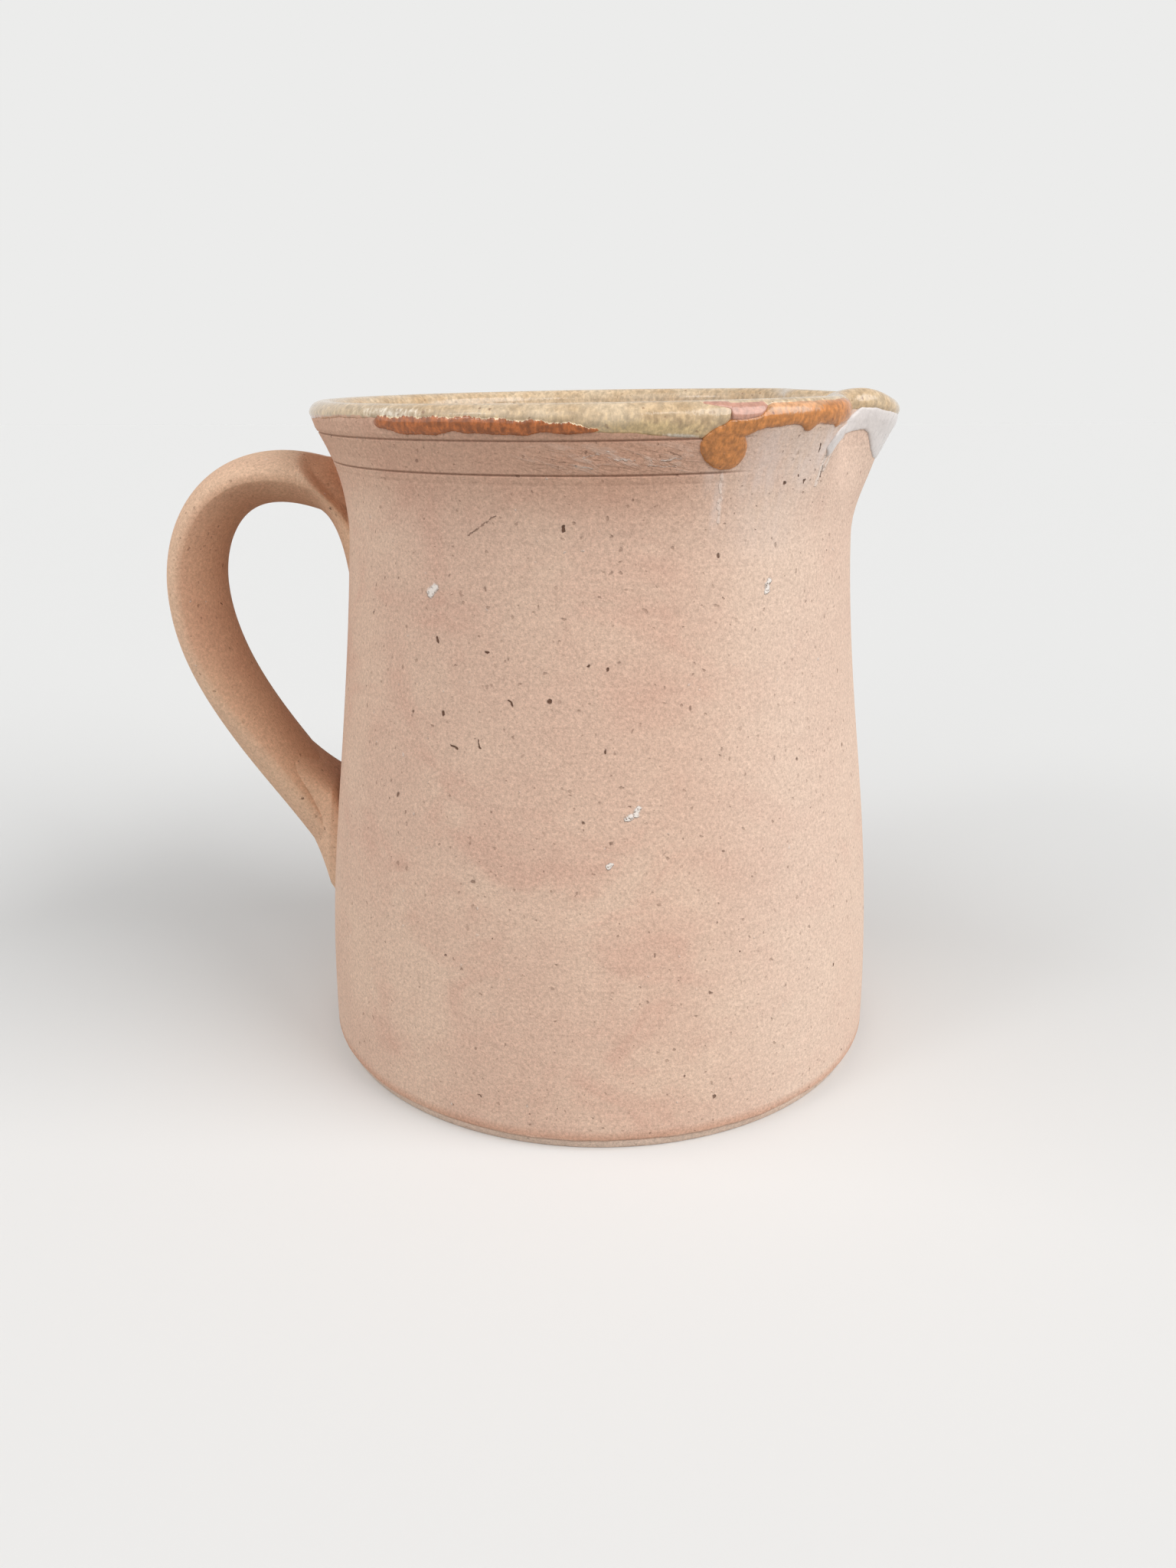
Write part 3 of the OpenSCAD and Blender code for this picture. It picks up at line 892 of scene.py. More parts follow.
@dataclass
class ThrownBody:
    """The thrown clay: foot with its trimmed bevel, wall, collar with its turned lines, and lip.

    The outlines at the foot are pairs of a step outwards and a height: the foot's edge steps from the foot's
    radius, the bevel from the ledge and the overhang from the base's radius. A shade or deep tone of three
    numbers is its strength, middle and half width. A wash run is its angle, half width, top, foot and
    strength.
    """

    form: ThrownForm = FORM
    columns: int = 344
    foot_radius: float = 78.0
    foot_ledge: float = 0.6
    base_rows: int = 8
    base_middle: float = 4.0
    base_round: float = 0.6
    foot_edge: Pairs = ((-0.15, 0.08), (0.1, 0.4))
    bevel: Pairs = ((-0.55, 1.8), (-0.25, 2.5), (-0.1, 2.8), (0.02, 3.0), (0.3, 3.15))
    overhang: Pairs = ((-0.12, 3.45),)
    wall_levels: tuple[tuple[float, float, int], ...] = ((3.9, 40.0, 16), (43.0, 158.0, 44))
    collar_start: float = 159.0
    collar_rows: int = 52
    below_lip: float = 1.0
    lip_lead: float = 6.0
    lip_rows: int = 22
    inside_rows: tuple[int, int] = (24, 8)
    chip_edge: Span = (2.9, 0.5)
    chip_height: float = 0.22
    chip_depth: float = 0.25
    line_heights: tuple[float, float, float] = (173.0, 165.5, 163.6)
    line_depths: tuple[float, float, float] = (0.42, 0.45, 0.1)
    line_half_width: float = 0.22
    line_wave: float = 0.25
    line_reach: float = 0.95
    line_rows: int = 31
    lines_wiped: tuple[Span, Span] = ((-69.0, -61.0), (40.0, 60.0))
    line_shade: float = 1.1
    smear_band: Span = (168.6, 3.0)
    smear_angles: tuple[Span, Span] = ((-108.0, -98.0), (-74.0, -70.0))
    bevel_shade: tuple[float, float, float] = (0.25, 2.95, 0.28)
    # Painted light on the foot's chamfer, which faces down
    bevel_painted_light: float = 0.8
    bevel_top: Span = (2.6, 3.0)
    foot_deep: tuple[float, float, float] = (0.7, 3.9, 0.7)
    foot_wave: float = 0.3
    # Painted shade on the collar under the lip's overhang, with a warmer tone
    collar_shade_and_tone: float = 0.42
    collar_rise: Span = (150.0, 170.0)
    collar_spared: tuple[Span, Span] = ((-76.0, -60.0), (50.0, 70.0))
    front_deep: tuple[float, float, float] = (0.3, -88.0, 16.0)
    # Painted light: the lit side of the jug is paler
    painted_lit_side: float = 0.55
    painted_lit_angles: tuple[Span, Span] = ((-80.0, -45.0), (30.0, 70.0))
    wash_runs: tuple[tuple[float, float, float, float, float], ...] = (
        (-69.0, 1.8, 165.5, 161.5, 0.5),
        (-67.6, 0.7, 164.0, 153.5, 0.6),
        (-58.0, 5.5, 174.0, 158.0, 0.42),
        (-49.0, 5.0, 173.0, 160.0, 0.5),
        (-44.0, 2.6, 174.0, 164.0, 0.85),
        (-55.0, 9.0, 162.0, 146.0, 0.2),
    )
    wash_foot: Span = (4.0, 6.0)
    wash_top: Span = (1.0, 2.0)

    def rows(self) -> np.ndarray:
        """Profile from the middle of the base, up the outside, over the lip and down the inside.

        Its rows are close together at the two upper lines of the collar, which are deep.

        Returns:
            Radius and height of each row.
        """
        form = self.form
        reach = np.linspace(self.base_middle, self.foot_radius - self.base_round, self.base_rows)
        base = np.stack([reach, np.zeros(self.base_rows)], -1)
        ledge = form.base_radius - self.foot_ledge
        outlines = ((self.foot_edge, self.foot_radius), (self.bevel, ledge),
                    (self.overhang, form.base_radius))
        foot = np.concatenate([np.array(outline) + (radius, 0.0) for outline, radius in outlines])
        near_line = np.linspace(-self.line_reach, self.line_reach, self.line_rows)
        collar_end = form.body_height - form.bead - self.below_lip
        spans = (*self.wall_levels, (self.collar_start, collar_end, self.collar_rows))
        levels = [np.linspace(*span) for span in spans]
        levels += [height + near_line for height in self.line_heights[:2]]
        z = np.unique(np.concatenate(levels))
        wall = np.stack([form.outer_radius(z), z], -1)
        lip = form.bead_point(np.linspace(form.bead_start + self.lip_lead, 180.0, self.lip_rows))
        return np.concatenate([base, foot, wall, lip, form.inside(*self.inside_rows)])

    def build(self) -> bpy.types.Object:
        """Turn the profile: each row of it is one ring, moved by the foot's chips and the turned lines.

        Returns:
            The clay, with its painted wash, smear, shade, deep and pale tones.
        """
        profile = self.rows()
        angle = np.linspace(-180.0, 180.0, self.columns, endpoint=False)
        r = np.broadcast_to(profile[:, :1], (len(profile), self.columns)).copy()
        z = np.broadcast_to(profile[:, 1:], r.shape).copy()
        a = np.broadcast_to(angle, r.shape)
        crest = int(np.argmax(profile[:, 1]))
        outside = (np.arange(len(profile)) <= crest)[:, None]
        r -= np.where(outside, self.line_cut(z, a), 0.0)
        edge_z, edge_width = self.chip_edge
        at_foot = outside * bell(z - edge_z, edge_width)
        z += at_foot * self.chip_height * ripple(a, (7.0, 19.0, 41.0, 83.0), 5)
        r += at_foot * self.chip_depth * ripple(a, (11.0, 23.0, 57.0), 8)
        z = np.maximum(z, 0.0)
        piece = closed_piece("body_clay", self.form.place(r, z, a))
        paint(piece, **{name: np.where(outside, tone, 0.0) for name, tone in self.tones(z, a).items()})
        return piece

    def line_cut(self, z: np.ndarray, a: np.ndarray) -> np.ndarray:
        """Depth of the turned lines: a bell across each, wiped away from the brown drop to the spout.

        Args:
            z: Heights of the points.
            a: Angles of the points.

        Returns:
            The depth at each point.
        """
        cut = np.zeros_like(z)
        for height, depth in zip(self.line_heights, self.line_depths):
            wave = self.line_wave * ripple(a, (1.0, 2.0, 5.0), 3)
            cut += depth * bell(z - height - wave, self.line_half_width)
        return cut * (1.0 - plateau(a, *self.lines_wiped))

    def wash(self, z: np.ndarray, a: np.ndarray) -> np.ndarray:
        """Pale wash: soft runs, each a bell across its angle that fades between its top and its foot.

        Args:
            z: Heights of the points.
            a: Angles of the points.

        Returns:
            The strength of the wash at each point.
        """
        veil = np.zeros_like(z)
        for middle, width, top, foot, strength in self.wash_runs:
            rise = (foot - self.wash_foot[0], foot + self.wash_foot[1])
            fall = (top - self.wash_top[0], top + self.wash_top[1])
            veil = np.maximum(veil, strength * bell(a - middle, width) * plateau(z, rise, fall))
        return veil

    def tones(self, z: np.ndarray, a: np.ndarray) -> dict[str, np.ndarray]:
        """Tones of the outside: bells and smooth steps of the height and the angle.

        Args:
            z: Heights of the points.
            a: Angles of the points.

        Returns:
            The strength of each tone at each point.
        """
        smear_z, smear_width = self.smear_band
        smear = bell(z - smear_z, smear_width) * plateau(a, *self.smear_angles)
        # Painted shade under the foot's overhang and in the turned lines
        strength, middle, width = self.bevel_shade
        shade = strength * bell(z - middle, width) + self.line_shade * self.line_cut(z, a)
        # Painted shade on the collar under the lip's overhang, with a warmer tone, spared round the spout
        strength, middle, width = self.front_deep
        collar = self.collar_shade_and_tone + strength * bell(a - middle, width)
        collar = collar * smooth(*self.collar_rise, z) * (1.0 - plateau(a, *self.collar_spared))
        strength, middle, width = self.foot_deep
        wave = self.foot_wave * ripple(a, (13.0, 29.0, 61.0), 9)
        deep = np.maximum(collar, strength * bell(z - middle - wave, width))
        # Painted light on the foot's chamfer and on the lit side
        bevel = self.bevel_painted_light * (1.0 - smooth(*self.bevel_top, z))
        pale = np.maximum(self.painted_lit_side * plateau(a, *self.painted_lit_angles), bevel)
        return {"wash": self.wash(z, a), "smear": smear, "shade": shade, "deep": deep, "pale": pale}

    def dress(self) -> None:
        """Build the clay and give it its finish."""
        settle(self.build(), "thrown_body", CLAY.material())


@dataclass
class StrapHandle:
    """The pulled strap: two curves that meet upright at the grip, with a soft lens for a section."""

    form: ThrownForm = FORM
    top_width: float = 34.0
    low_width: float = 28.0
    thickness: float = 13.2
    grip_reach: float = 112.4
    grip_depth: float = 50.6
    top_depth: float = 29.0
    low_height: float = 46.0
    curve_seat: float = 8.0
    seat: float = 5.0
    deepest: float = 3.5
    top_pull: Span = (-38.4, 22.4)
    low_pull: Span = (-16.3, 32.5)
    upper_grip_pull: Span = (0.0, 18.6)
    lower_grip_pull: Span = (0.0, -31.0)
    curve_steps: int = 400
    ends_apart: float = 120.0
    edge_power: float = 0.95
    outer_power: float = 0.83
    inner_power: float = 1.7
    keel_depth: float = 1.05
    keel_growth: float = 0.25
    keel_span: Span = (0.2, 0.7)
    ridge_shift: float = 0.55
    ridge_span: Span = (0.5, 0.8)
    ridge_balance: float = 0.45
    # Painted shade on the inner flank, which faces the wall
    flank_painted_shade: float = 0.5
    # Painted light on the outer face, which fades by half down the run
    face_painted_light: float = 0.7
    face_edge: float = 0.4
    crease_start: Span = (-79.0, 163.5)
    crease_normal: Span = (0.787, 0.617)
    crease_share: float = 0.7
    crease_width: Span = (-0.2, 1.6)
    recess_width: Span = (0.0, 9.0)
    recess_foot: Span = (130.0, 142.0)
    press: float = 0.36
    sections: int = 170
    sides: int = 96

    def seat_point(self, z: float) -> np.ndarray:
        """Where a curve starts inside the wall at a height, as x and z."""
        return np.array([self.curve_seat - float(self.form.outer_radius(np.array(z))), z])

    def curves(self) -> tuple[np.ndarray, np.ndarray]:
        """Control points of the two curves, from the wall to the grip.

        Returns:
            The points of the upper and of the lower curve, as x and z.
        """
        top = self.seat_point(self.form.body_height - self.top_depth)
        low = self.seat_point(self.low_height)
        grip = np.array([-self.grip_reach, self.form.body_height - self.grip_depth])
        upper = np.stack([top, top + self.top_pull, grip + self.upper_grip_pull, grip])
        lower = np.stack([low, low + self.low_pull, grip + self.lower_grip_pull, grip])
        return upper, lower

    def keel(self, share: np.ndarray) -> np.ndarray:
        """Depth of the inner face, in half thicknesses, which grows down the strap's run."""
        return self.keel_depth + self.keel_growth * smooth(*self.keel_span, share)

    def ridge(self, share: np.ndarray, across: np.ndarray) -> np.ndarray:
        """Shift of the side ridges inwards on the lower half, with the middle shifted out to match."""
        return self.ridge_shift * smooth(*self.ridge_span, share) * (across**2 - self.ridge_balance)

    def section(self, sides: int, plump: np.ndarray | float = 0.0) -> tuple[np.ndarray, np.ndarray]:
        """Section as shares across and through, minus on the outer face.

        They are a cosine and a sine to powers: the outer face is full and round, and the inner one runs
        from the ridges at the sides to a keel.

        Args:
            sides: Points round the section.
            plump: Share by which the inner face is a plain oval.

        Returns:
            The share of the half width and the share of the half thickness.
        """
        turn = np.linspace(0.0, 2 * np.pi, sides, endpoint=False)[None, :]
        across, through = np.cos(turn), np.sin(turn)
        outer = -(np.abs(through) ** self.outer_power)
        inner = np.abs(through) ** (self.inner_power + (1.0 - self.inner_power) * plump)
        return np.sign(across) * np.abs(across) ** self.edge_power, np.where(through < 0.0, outer, inner)

    def recess(self, x: np.ndarray, z: np.ndarray) -> np.ndarray:
        """The thumb's recess: past a slanted crease line, towards the wall, by two smooth steps.

        Args:
            x: Places along x.
            z: Heights.

        Returns:
            How far each place is inside the recess, from 0 to 1.
        """
        (start_x, start_z), (side, up) = self.crease_start, self.crease_normal
        past = (x - start_x) * side + (z - start_z) * up
        crease = self.crease_share * smooth(*self.crease_width, past)
        hollow = (1.0 - self.crease_share) * smooth(*self.recess_width, past)
        return (crease + hollow) * smooth(*self.recess_foot, z)

    def pressed(self, x: np.ndarray, y: np.ndarray, z: np.ndarray) -> np.ndarray:
        """Sideways places after the thumb has pressed the near side in towards the strap's middle."""
        return np.where(y < 0.0, y * (1.0 - self.press * self.recess(x, z)), y)

    def seated(self, x: np.ndarray, y: np.ndarray, z: np.ndarray) -> np.ndarray:
        """Places along x with none too deep under the wall's face."""
        return np.minimum(x, self.deepest - np.sqrt(self.form.outer_radius(z) ** 2 - y**2))

    @staticmethod
    def bezier(points: np.ndarray, t: np.ndarray) -> np.ndarray:
        """Cubic curve of four control points, each weighted by its Bernstein polynomial.

        Args:
            points: The control points.
            t: Shares of the curve's run.

        Returns:
            The points of the curve.
        """
        u = 1.0 - t
        weights = np.stack([u**3, 3 * t * u**2, 3 * t**2 * u, t**3], -1)
        return weights @ points

    def line(self) -> np.ndarray:
        """Middle line from the upper seat, over the grip, to the lower seat.

        Returns:
            Its points as x and z, at even steps of its length.
        """
        upper, lower = self.curves()
        t = np.linspace(0.0, 1.0, self.curve_steps)
        path = np.concatenate([self.bezier(upper, t), self.bezier(lower, t[-2::-1])])
        seat_x = np.where(path[:, 1] < self.ends_apart, lower[0, 0], upper[0, 0])
        path = path[path[:, 0] < seat_x - (self.curve_seat - self.seat)]
        run = np.concatenate([[0.0], np.cumsum(np.linalg.norm(np.diff(path, axis=0), axis=1))])
        even = np.linspace(0.0, run[-1], self.sections)
        return np.stack([np.interp(even, run, path[:, 0]), np.interp(even, run, path[:, 1])], -1)

    def build(self) -> bpy.types.Object:
        """Carry the soft lens along the line: width along y, thickness square to the line.

        Down the lower half the ridges at the sides move inwards, with the square of the share across.

        Returns:
            The strap, with its ends sunk in the wall.
        """
        line = self.line()
        ahead = np.gradient(line, axis=0)
        ahead /= np.linalg.norm(ahead, axis=1, keepdims=True)
        share = np.linspace(0.0, 1.0, self.sections)[:, None]
        half_width = (self.top_width + (self.low_width - self.top_width) * share) / 2.0
        across, through = self.section(self.sides)
        deepened = through * np.where(through > 0.0, self.keel(share), 1.0)
        thick = self.thickness / 2.0 * (deepened + self.ridge(share, across))
        x = line[:, :1] - ahead[:, 1:] * thick
        z = line[:, 1:] + ahead[:, :1] * thick
        y = self.pressed(x, half_width * across, z)
        return self.finished("strap", (x, y, z), through, share, self.flank_painted_shade)

    def finished(self, name: str, place: tuple[np.ndarray, ...], through: np.ndarray, share: np.ndarray,
                 flank: np.ndarray | float) -> bpy.types.Object:
        """Seat a strap or a wad in the wall and paint it.

        It has painted light on the outer face, and painted shade on the flank and in the thumb's recess.

        Args:
            name: Name of the piece.
            place: Places along x, y and z, pressed by the thumb.
            through: Share through the section, minus on the outer face.
            share: Share of the strap's run, down which the painted light on the face fades by half.
            flank: Strength of the painted shade on the flank.

        Returns:
            The piece.
        """
        x, y, z = place
        x = self.seated(x, y, z)
        piece = closed_piece(name, np.stack([x, y, z], -1))
        # Painted shade in the thumb's recess and on the inner flank, painted light on the outer face
        hollow = self.recess(x, z) * (y < 0.0)
        face = self.face_painted_light * (1.0 - share / 2.0) * smooth(0.0, self.face_edge, -through)
        deep = np.maximum(hollow, flank * np.clip(through, 0.0, 1.0))
        paint(piece, deep=deep, pale=face * (1.0 - hollow), wash=0.0, smear=0.0, shade=0.0)
        return piece

    def dress(self) -> None:
        """Build the strap and give it its finish."""
        settle(self.build(), "strap_handle", HANDLE_CLAY.material())


class Joint(Enum):
    """The two places where the strap is luted to the wall."""

    UPPER = "upper"
    LOWER = "lower"


@dataclass
class JointWad:
    """A wad of clay thumbed round one end of the strap."""

    joint: Joint
    strap: StrapHandle
    length: float
    drop: float
    rise: float
    drop_fade: float
    spread: float = 2.0
    sunk: float = 0.15
    fade: float = 2.2
    root: float = 4.0
    look_ahead: float = 0.01
    sections: int = 60
    sides: int = 72

    def build(self) -> bpy.types.Object:
        """Carry the strap's upright section out from the wall: it is widest there and sinks into the strap.

        Its top, its foot and its sides each die away with the distance from the wall, as a power of what is
        left of the wad's length, and so does its bend round the wall. The strap's outer face is on top at the
        upper joint and below at the lower.

        Returns:
            The wad.
        """
        strap, wall_radius = self.strap, self.strap.form.outer_radius
        upper, lower = strap.curves()
        is_upper = self.joint is Joint.UPPER
        curve, width, end = (upper, strap.top_width, 0.0) if is_upper else (lower, strap.low_width, 1.0)
        out = np.linspace(-self.root, self.length, self.sections)
        t = (strap.curve_seat + out) / (3.0 * abs(curve[1, 0] - curve[0, 0]))
        middle = strap.bezier(curve, t)
        ahead = strap.bezier(curve, t + self.look_ahead) - middle
        slope = np.abs(ahead[:, 0]) / np.linalg.norm(ahead, axis=1)
        left = 1.0 - np.clip(out, 0.0, self.length) / self.length
        half_height = strap.thickness / 2.0 / slope
        bulge = half_height * strap.keel(np.array(end))
        over, below = (half_height, bulge) if is_upper else (bulge, half_height)
        top = middle[:, 1] + over - self.sunk + self.rise * left**self.fade
        foot = middle[:, 1] - below + self.sunk - self.drop * left**self.drop_fade
        left = left[:, None]
        across, through = strap.section(self.sides, left)
        y = (width / 2.0 - self.sunk + self.spread * left**self.fade) * across
        outer = -1.0 if is_upper else 1.0
        height = outer * (through + strap.ridge(np.array(end), across))
        z = ((top + foot) / 2.0)[:, None] + ((top - foot) / 2.0)[:, None] * height
        x = np.broadcast_to(middle[:, :1], z.shape)
        y = strap.pressed(x, y, z)
        bend = wall_radius(middle[:, 1:]) - np.sqrt(wall_radius(z) ** 2 - y**2)
        # Painted shade on the wad's inner flank, fading out towards the wall
        flank = strap.flank_painted_shade * (1.0 - left)
        place = (x + left * bend, y, z)
        return strap.finished(f"{self.joint.value}_wad", place, through, np.array(end), flank)

    def dress(self) -> None:
        """Build the wad and give it its finish."""
        settle(self.build(), f"{self.joint.value}_joint_wad", HANDLE_CLAY.material())


CREAM_EDGE: Pairs = (
    (-180, 3.6), (-155, 3.3), (-148, 2.9), (-140, 2.6), (-133, 2.5), (-126, 2.7), (-110, 2.7), (-107, 3.0),
    (-100, 3.4), (-94, 4.1), (-90.5, 5.4), (-86.5, 5.7), (-83, 5.9), (-80.5, 6.2), (-76.5, 6.8), (-72.8, 7.2),
    (-72.1, 6.7), (-70.7, 5.5), (-69.1, 4.6), (-68.3, 3.5), (-68, 1.9), (-63, 1.8), (-61.5, 1.6),
    (-60, 0.9), (-52.5, 0.8), (-48, 0.8), (-40, 0.6), (-36, 1.5), (-31, 3.0), (-26, 3.8), (-23, 4.1),
    (-18, 4.6), (-12, 4.0), (0, 4.1), (24, 3.8), (45, 4), (90, 4.8), (130, 4.2), (180, 3.6),
)


@dataclass
class CreamLining:
    """The cream glaze: it lines the floor and the wall and laps over the lip to an uneven edge."""

    form: ThrownForm = FORM
    thickness: float = 0.6
    sunk: float = 0.35
    columns: int = 900
    lap_rows: int = 26
    lap_power: float = 1.6
    lip_span: tuple[float, float, int] = (100.0, 180.0, 12)
    inside_rows: tuple[int, int] = (20, 6)
    round_off: float = 0.55
    edge: Pairs = CREAM_EDGE
    edge_ripple: float = 0.16
    olive: tuple[float, ...] = (1.0, -81.0, 11.0, 0.45, 0.95)
    milky: tuple[float, ...] = (0.6, -128.0, 11.0, 0.3, 0.55)
    pale_edge: tuple[float, ...] = (1.2, -76.5, 3.5, 0.86, 1.0)
    warm: float = 0.22
    warm_span: Span = (0.1, 0.9)
    covered: tuple[Span, Span] = ((-137.0, -131.0), (36.0, 46.0))
    thin_span: Span = (0.72, 1.0)

    def edge_depth(self, a: np.ndarray) -> np.ndarray:
        """Depth of the coat's edge below the rim, with a fine ripple."""
        return along(a, self.edge) + self.edge_ripple * ripple(a, (31.0, 67.0, 140.0, 233.0), 11)

    def build(self) -> bpy.types.Object:
        """Follow the profile from the floor to the edge, a coat off the clay, and come back under it.

        The lap outside the crest runs down to the edge's depth at each angle, in steps that grow as a power
        of its share, and the coat rounds off to nothing there. Its hidden underside has half the rows.

        Returns:
            The glaze, with its painted rich, pale and fringe tones.
        """
        form = self.form
        a = np.linspace(-180.0, 180.0, self.columns, endpoint=False)
        inner = np.concatenate([form.bead_point(np.linspace(*self.lip_span)), form.inside(*self.inside_rows)])
        inner = inner[::-1]
        across = np.gradient(inner, axis=0)
        across /= np.linalg.norm(across, axis=1, keepdims=True)
        off = np.stack([-across[:, 1], across[:, 0]], -1)
        share = np.linspace(0.0, 1.0, self.lap_rows)[:, None]
        depth = form.least_depth + (self.edge_depth(a) - form.least_depth) * share**self.lap_power
        proud = self.thickness * np.sqrt(1.0 - smooth(self.round_off, 1.0, share) ** 2)
        sides = []
        for lining, lap in ((self.thickness, proud), (-self.sunk, -self.sunk)):
            wall = inner + off * lining
            sides.append(np.concatenate([form.place(wall[:, :1], wall[:, 1:], a), form.coat(depth, a, lap)]))
        skin, under = sides
        piece = closed_piece("cream_lining", np.concatenate([skin, under[::-2]]))
        paint(piece, **self.tones(a, np.concatenate([np.zeros((len(inner), 1)), share])))
        return piece

    def tones(self, a: np.ndarray, lap: np.ndarray) -> dict[str, np.ndarray]:
        """Tones of the coat: patches that are each a bell round the jug times a smooth step down the lap.

        A patch is its strength, angle and half width, and the shares of the lap where its step starts and
        ends. The lap is olive at the front, milky at the left and pale along its edge beside the drop. It is
        warm towards its edge all round, and its edge is thin round the back, past the runs and the slip.

        Args:
            a: Angle of each column.
            lap: Share of the way down the lap of each row, 0 inside.

        Returns:
            The strength of each tone.
        """
        olive, milky, pale_edge = (
            strength * bell(a - middle, width) * smooth(start, end, lap)
            for strength, middle, width, start, end in (self.olive, self.milky, self.pale_edge))
        warm = self.warm * smooth(*self.warm_span, lap)
        thin = (1.0 - plateau(a, *self.covered)) * smooth(*self.thin_span, lap)
        return {"rich": np.maximum(olive, warm), "pale": np.maximum(milky, pale_edge), "fringe": thin}

    def dress(self) -> None:
        """Build the coat and give it its finish."""
        settle(self.build(), "cream_glaze", CREAM.material())


@dataclass(frozen=True)
class GlazeRun:
    """A run of glaze or slip on the outside, between a top and a bottom edge."""

    name: str
    top: Pairs
    bottom: Pairs
    seed: int
    top_ripple: float
    bottom_ripple: float
    thickness: float = 0.62
    sunk: float = 0.3
    waves: tuple[float, ...] = (37.0, 83.0, 171.0, 290.0)
    end: float = 1.2
    end_share: float = 0.15
    least_half: float = 0.05
    step: float = 0.15
    rows: int = 26
    rich_from: Pairs = ((-180.0, 0.0), (180.0, 0.0))
    rich_blur: float = 1.3
    fringe: float = 0.0
    fringe_span: Span = (-1.0, -0.5)
    form: ThrownForm = FORM

    def build(self) -> bpy.types.Object:
        """Lay sections across the run, one each step of the angle, with the domed face and the back under it.

        The face is a plump dome that falls to the clay at both edges and at both ends.

        Returns:
            The run, rich below a depth of its own and with a fringe along its top.
        """
        first, last = self.bottom[0][0], self.bottom[-1][0]
        a = np.linspace(first, last, int((last - first) / self.step) + 1)[:, None]
        top = along(a, self.top) + self.top_ripple * ripple(a, self.waves, self.seed)
        foot = along(a, self.bottom) + self.bottom_ripple * ripple(a, self.waves, self.seed + 1)
        close = np.sqrt(np.clip(np.minimum(a - first, last - a) / self.end, 0.0, 1.0))
        half = np.maximum((foot - top) / 2.0, self.least_half)
        half = half * (self.end_share + (1.0 - self.end_share) * close)
        share = np.sin(np.linspace(-0.5, 0.5, self.rows) * np.pi)[None, :]
        depth = (top + foot) / 2.0 + half * share
        face = self.form.coat(depth, a, self.thickness * dome(share) * close)
        piece = closed_piece(self.name, folded(face, self.form.coat(depth, a, -self.sunk), 1))
        start = along(a, self.rich_from)
        rich = smooth(start - self.rich_blur, start + self.rich_blur, depth)
        fringe = self.fringe * (1.0 - smooth(*self.fringe_span, share)) * np.ones_like(depth)
        paint(piece, rich=folded(rich, rich, 1), fringe=folded(fringe, fringe, 1), pale=0.0)
        return piece


@dataclass(frozen=True)
class GlazeDrop:
    """A round drop of glaze, drawn about its own middle."""

    name: str
    middle: Span
    outline: Pairs
    thickness: float = 0.85
    sunk: float = 0.3
    edge_ripple: float = 0.05
    turns: int = 160
    rings: int = 20
    first_ring: float = 0.01
    form: ThrownForm = FORM

    def build(self) -> bpy.types.Object:
        """Lay rings of the outline from the middle outwards, and back under them inside the clay.

        The outline is a distance from the middle at each turn, counted from the right and downwards. The
        face is a plump dome over the share of that distance.

        Returns:
            The drop.
        """
        turn = np.linspace(0.0, 360.0, self.turns, endpoint=False)
        places, values = zip(*self.outline)
        reach = np.interp(turn, places, values, period=360.0)
        reach = reach + self.edge_ripple * ripple(turn, (7.0, 17.0, 31.0), 61)
        share = np.sin(np.linspace(self.first_ring, 0.5, self.rings) * np.pi)[:, None]
        degrees = np.degrees(1.0 / self.form.lip_radius)
        a = self.middle[0] + share * reach * np.cos(np.radians(turn)) * degrees
        depth = self.middle[1] + share * reach * np.sin(np.radians(turn))
        face = self.form.coat(depth, a, self.thickness * dome(share))
        piece = closed_piece(self.name, folded(face, self.form.coat(depth, a, -self.sunk), 0))
        paint(piece, rich=np.ones(2 * depth.size), fringe=0.0, pale=0.0)
        return piece


FINE_WAVES = (61.0, 170.0, 410.0, 730.0)
STREAK = GlazeRun(
    "brown_streak",
    top=((-132.4, 2.4), (-131, 2.0), (-126, 1.8), (-118, 1.8), (-110.5, 1.8), (-107, 2.2), (-100.5, 2.6),
         (-94.4, 3.3), (-90, 4.4)),
    bottom=((-132.4, 4.0), (-132, 4.4), (-129.4, 4.8), (-126.3, 5.8), (-122.7, 5.9), (-118.6, 5.9),
            (-116, 5.3), (-114.6, 5.0), (-112.8, 5.4), (-109, 5.6), (-105.8, 5.7), (-102.5, 6.0), (-101, 5.6),
            (-99.5, 5.2), (-96.6, 5.6), (-94.4, 5.7), (-92.4, 5.5), (-90, 5.3)),
    seed=21, top_ripple=0.35, bottom_ripple=0.12, waves=FINE_WAVES, step=0.09, fringe=1.0)
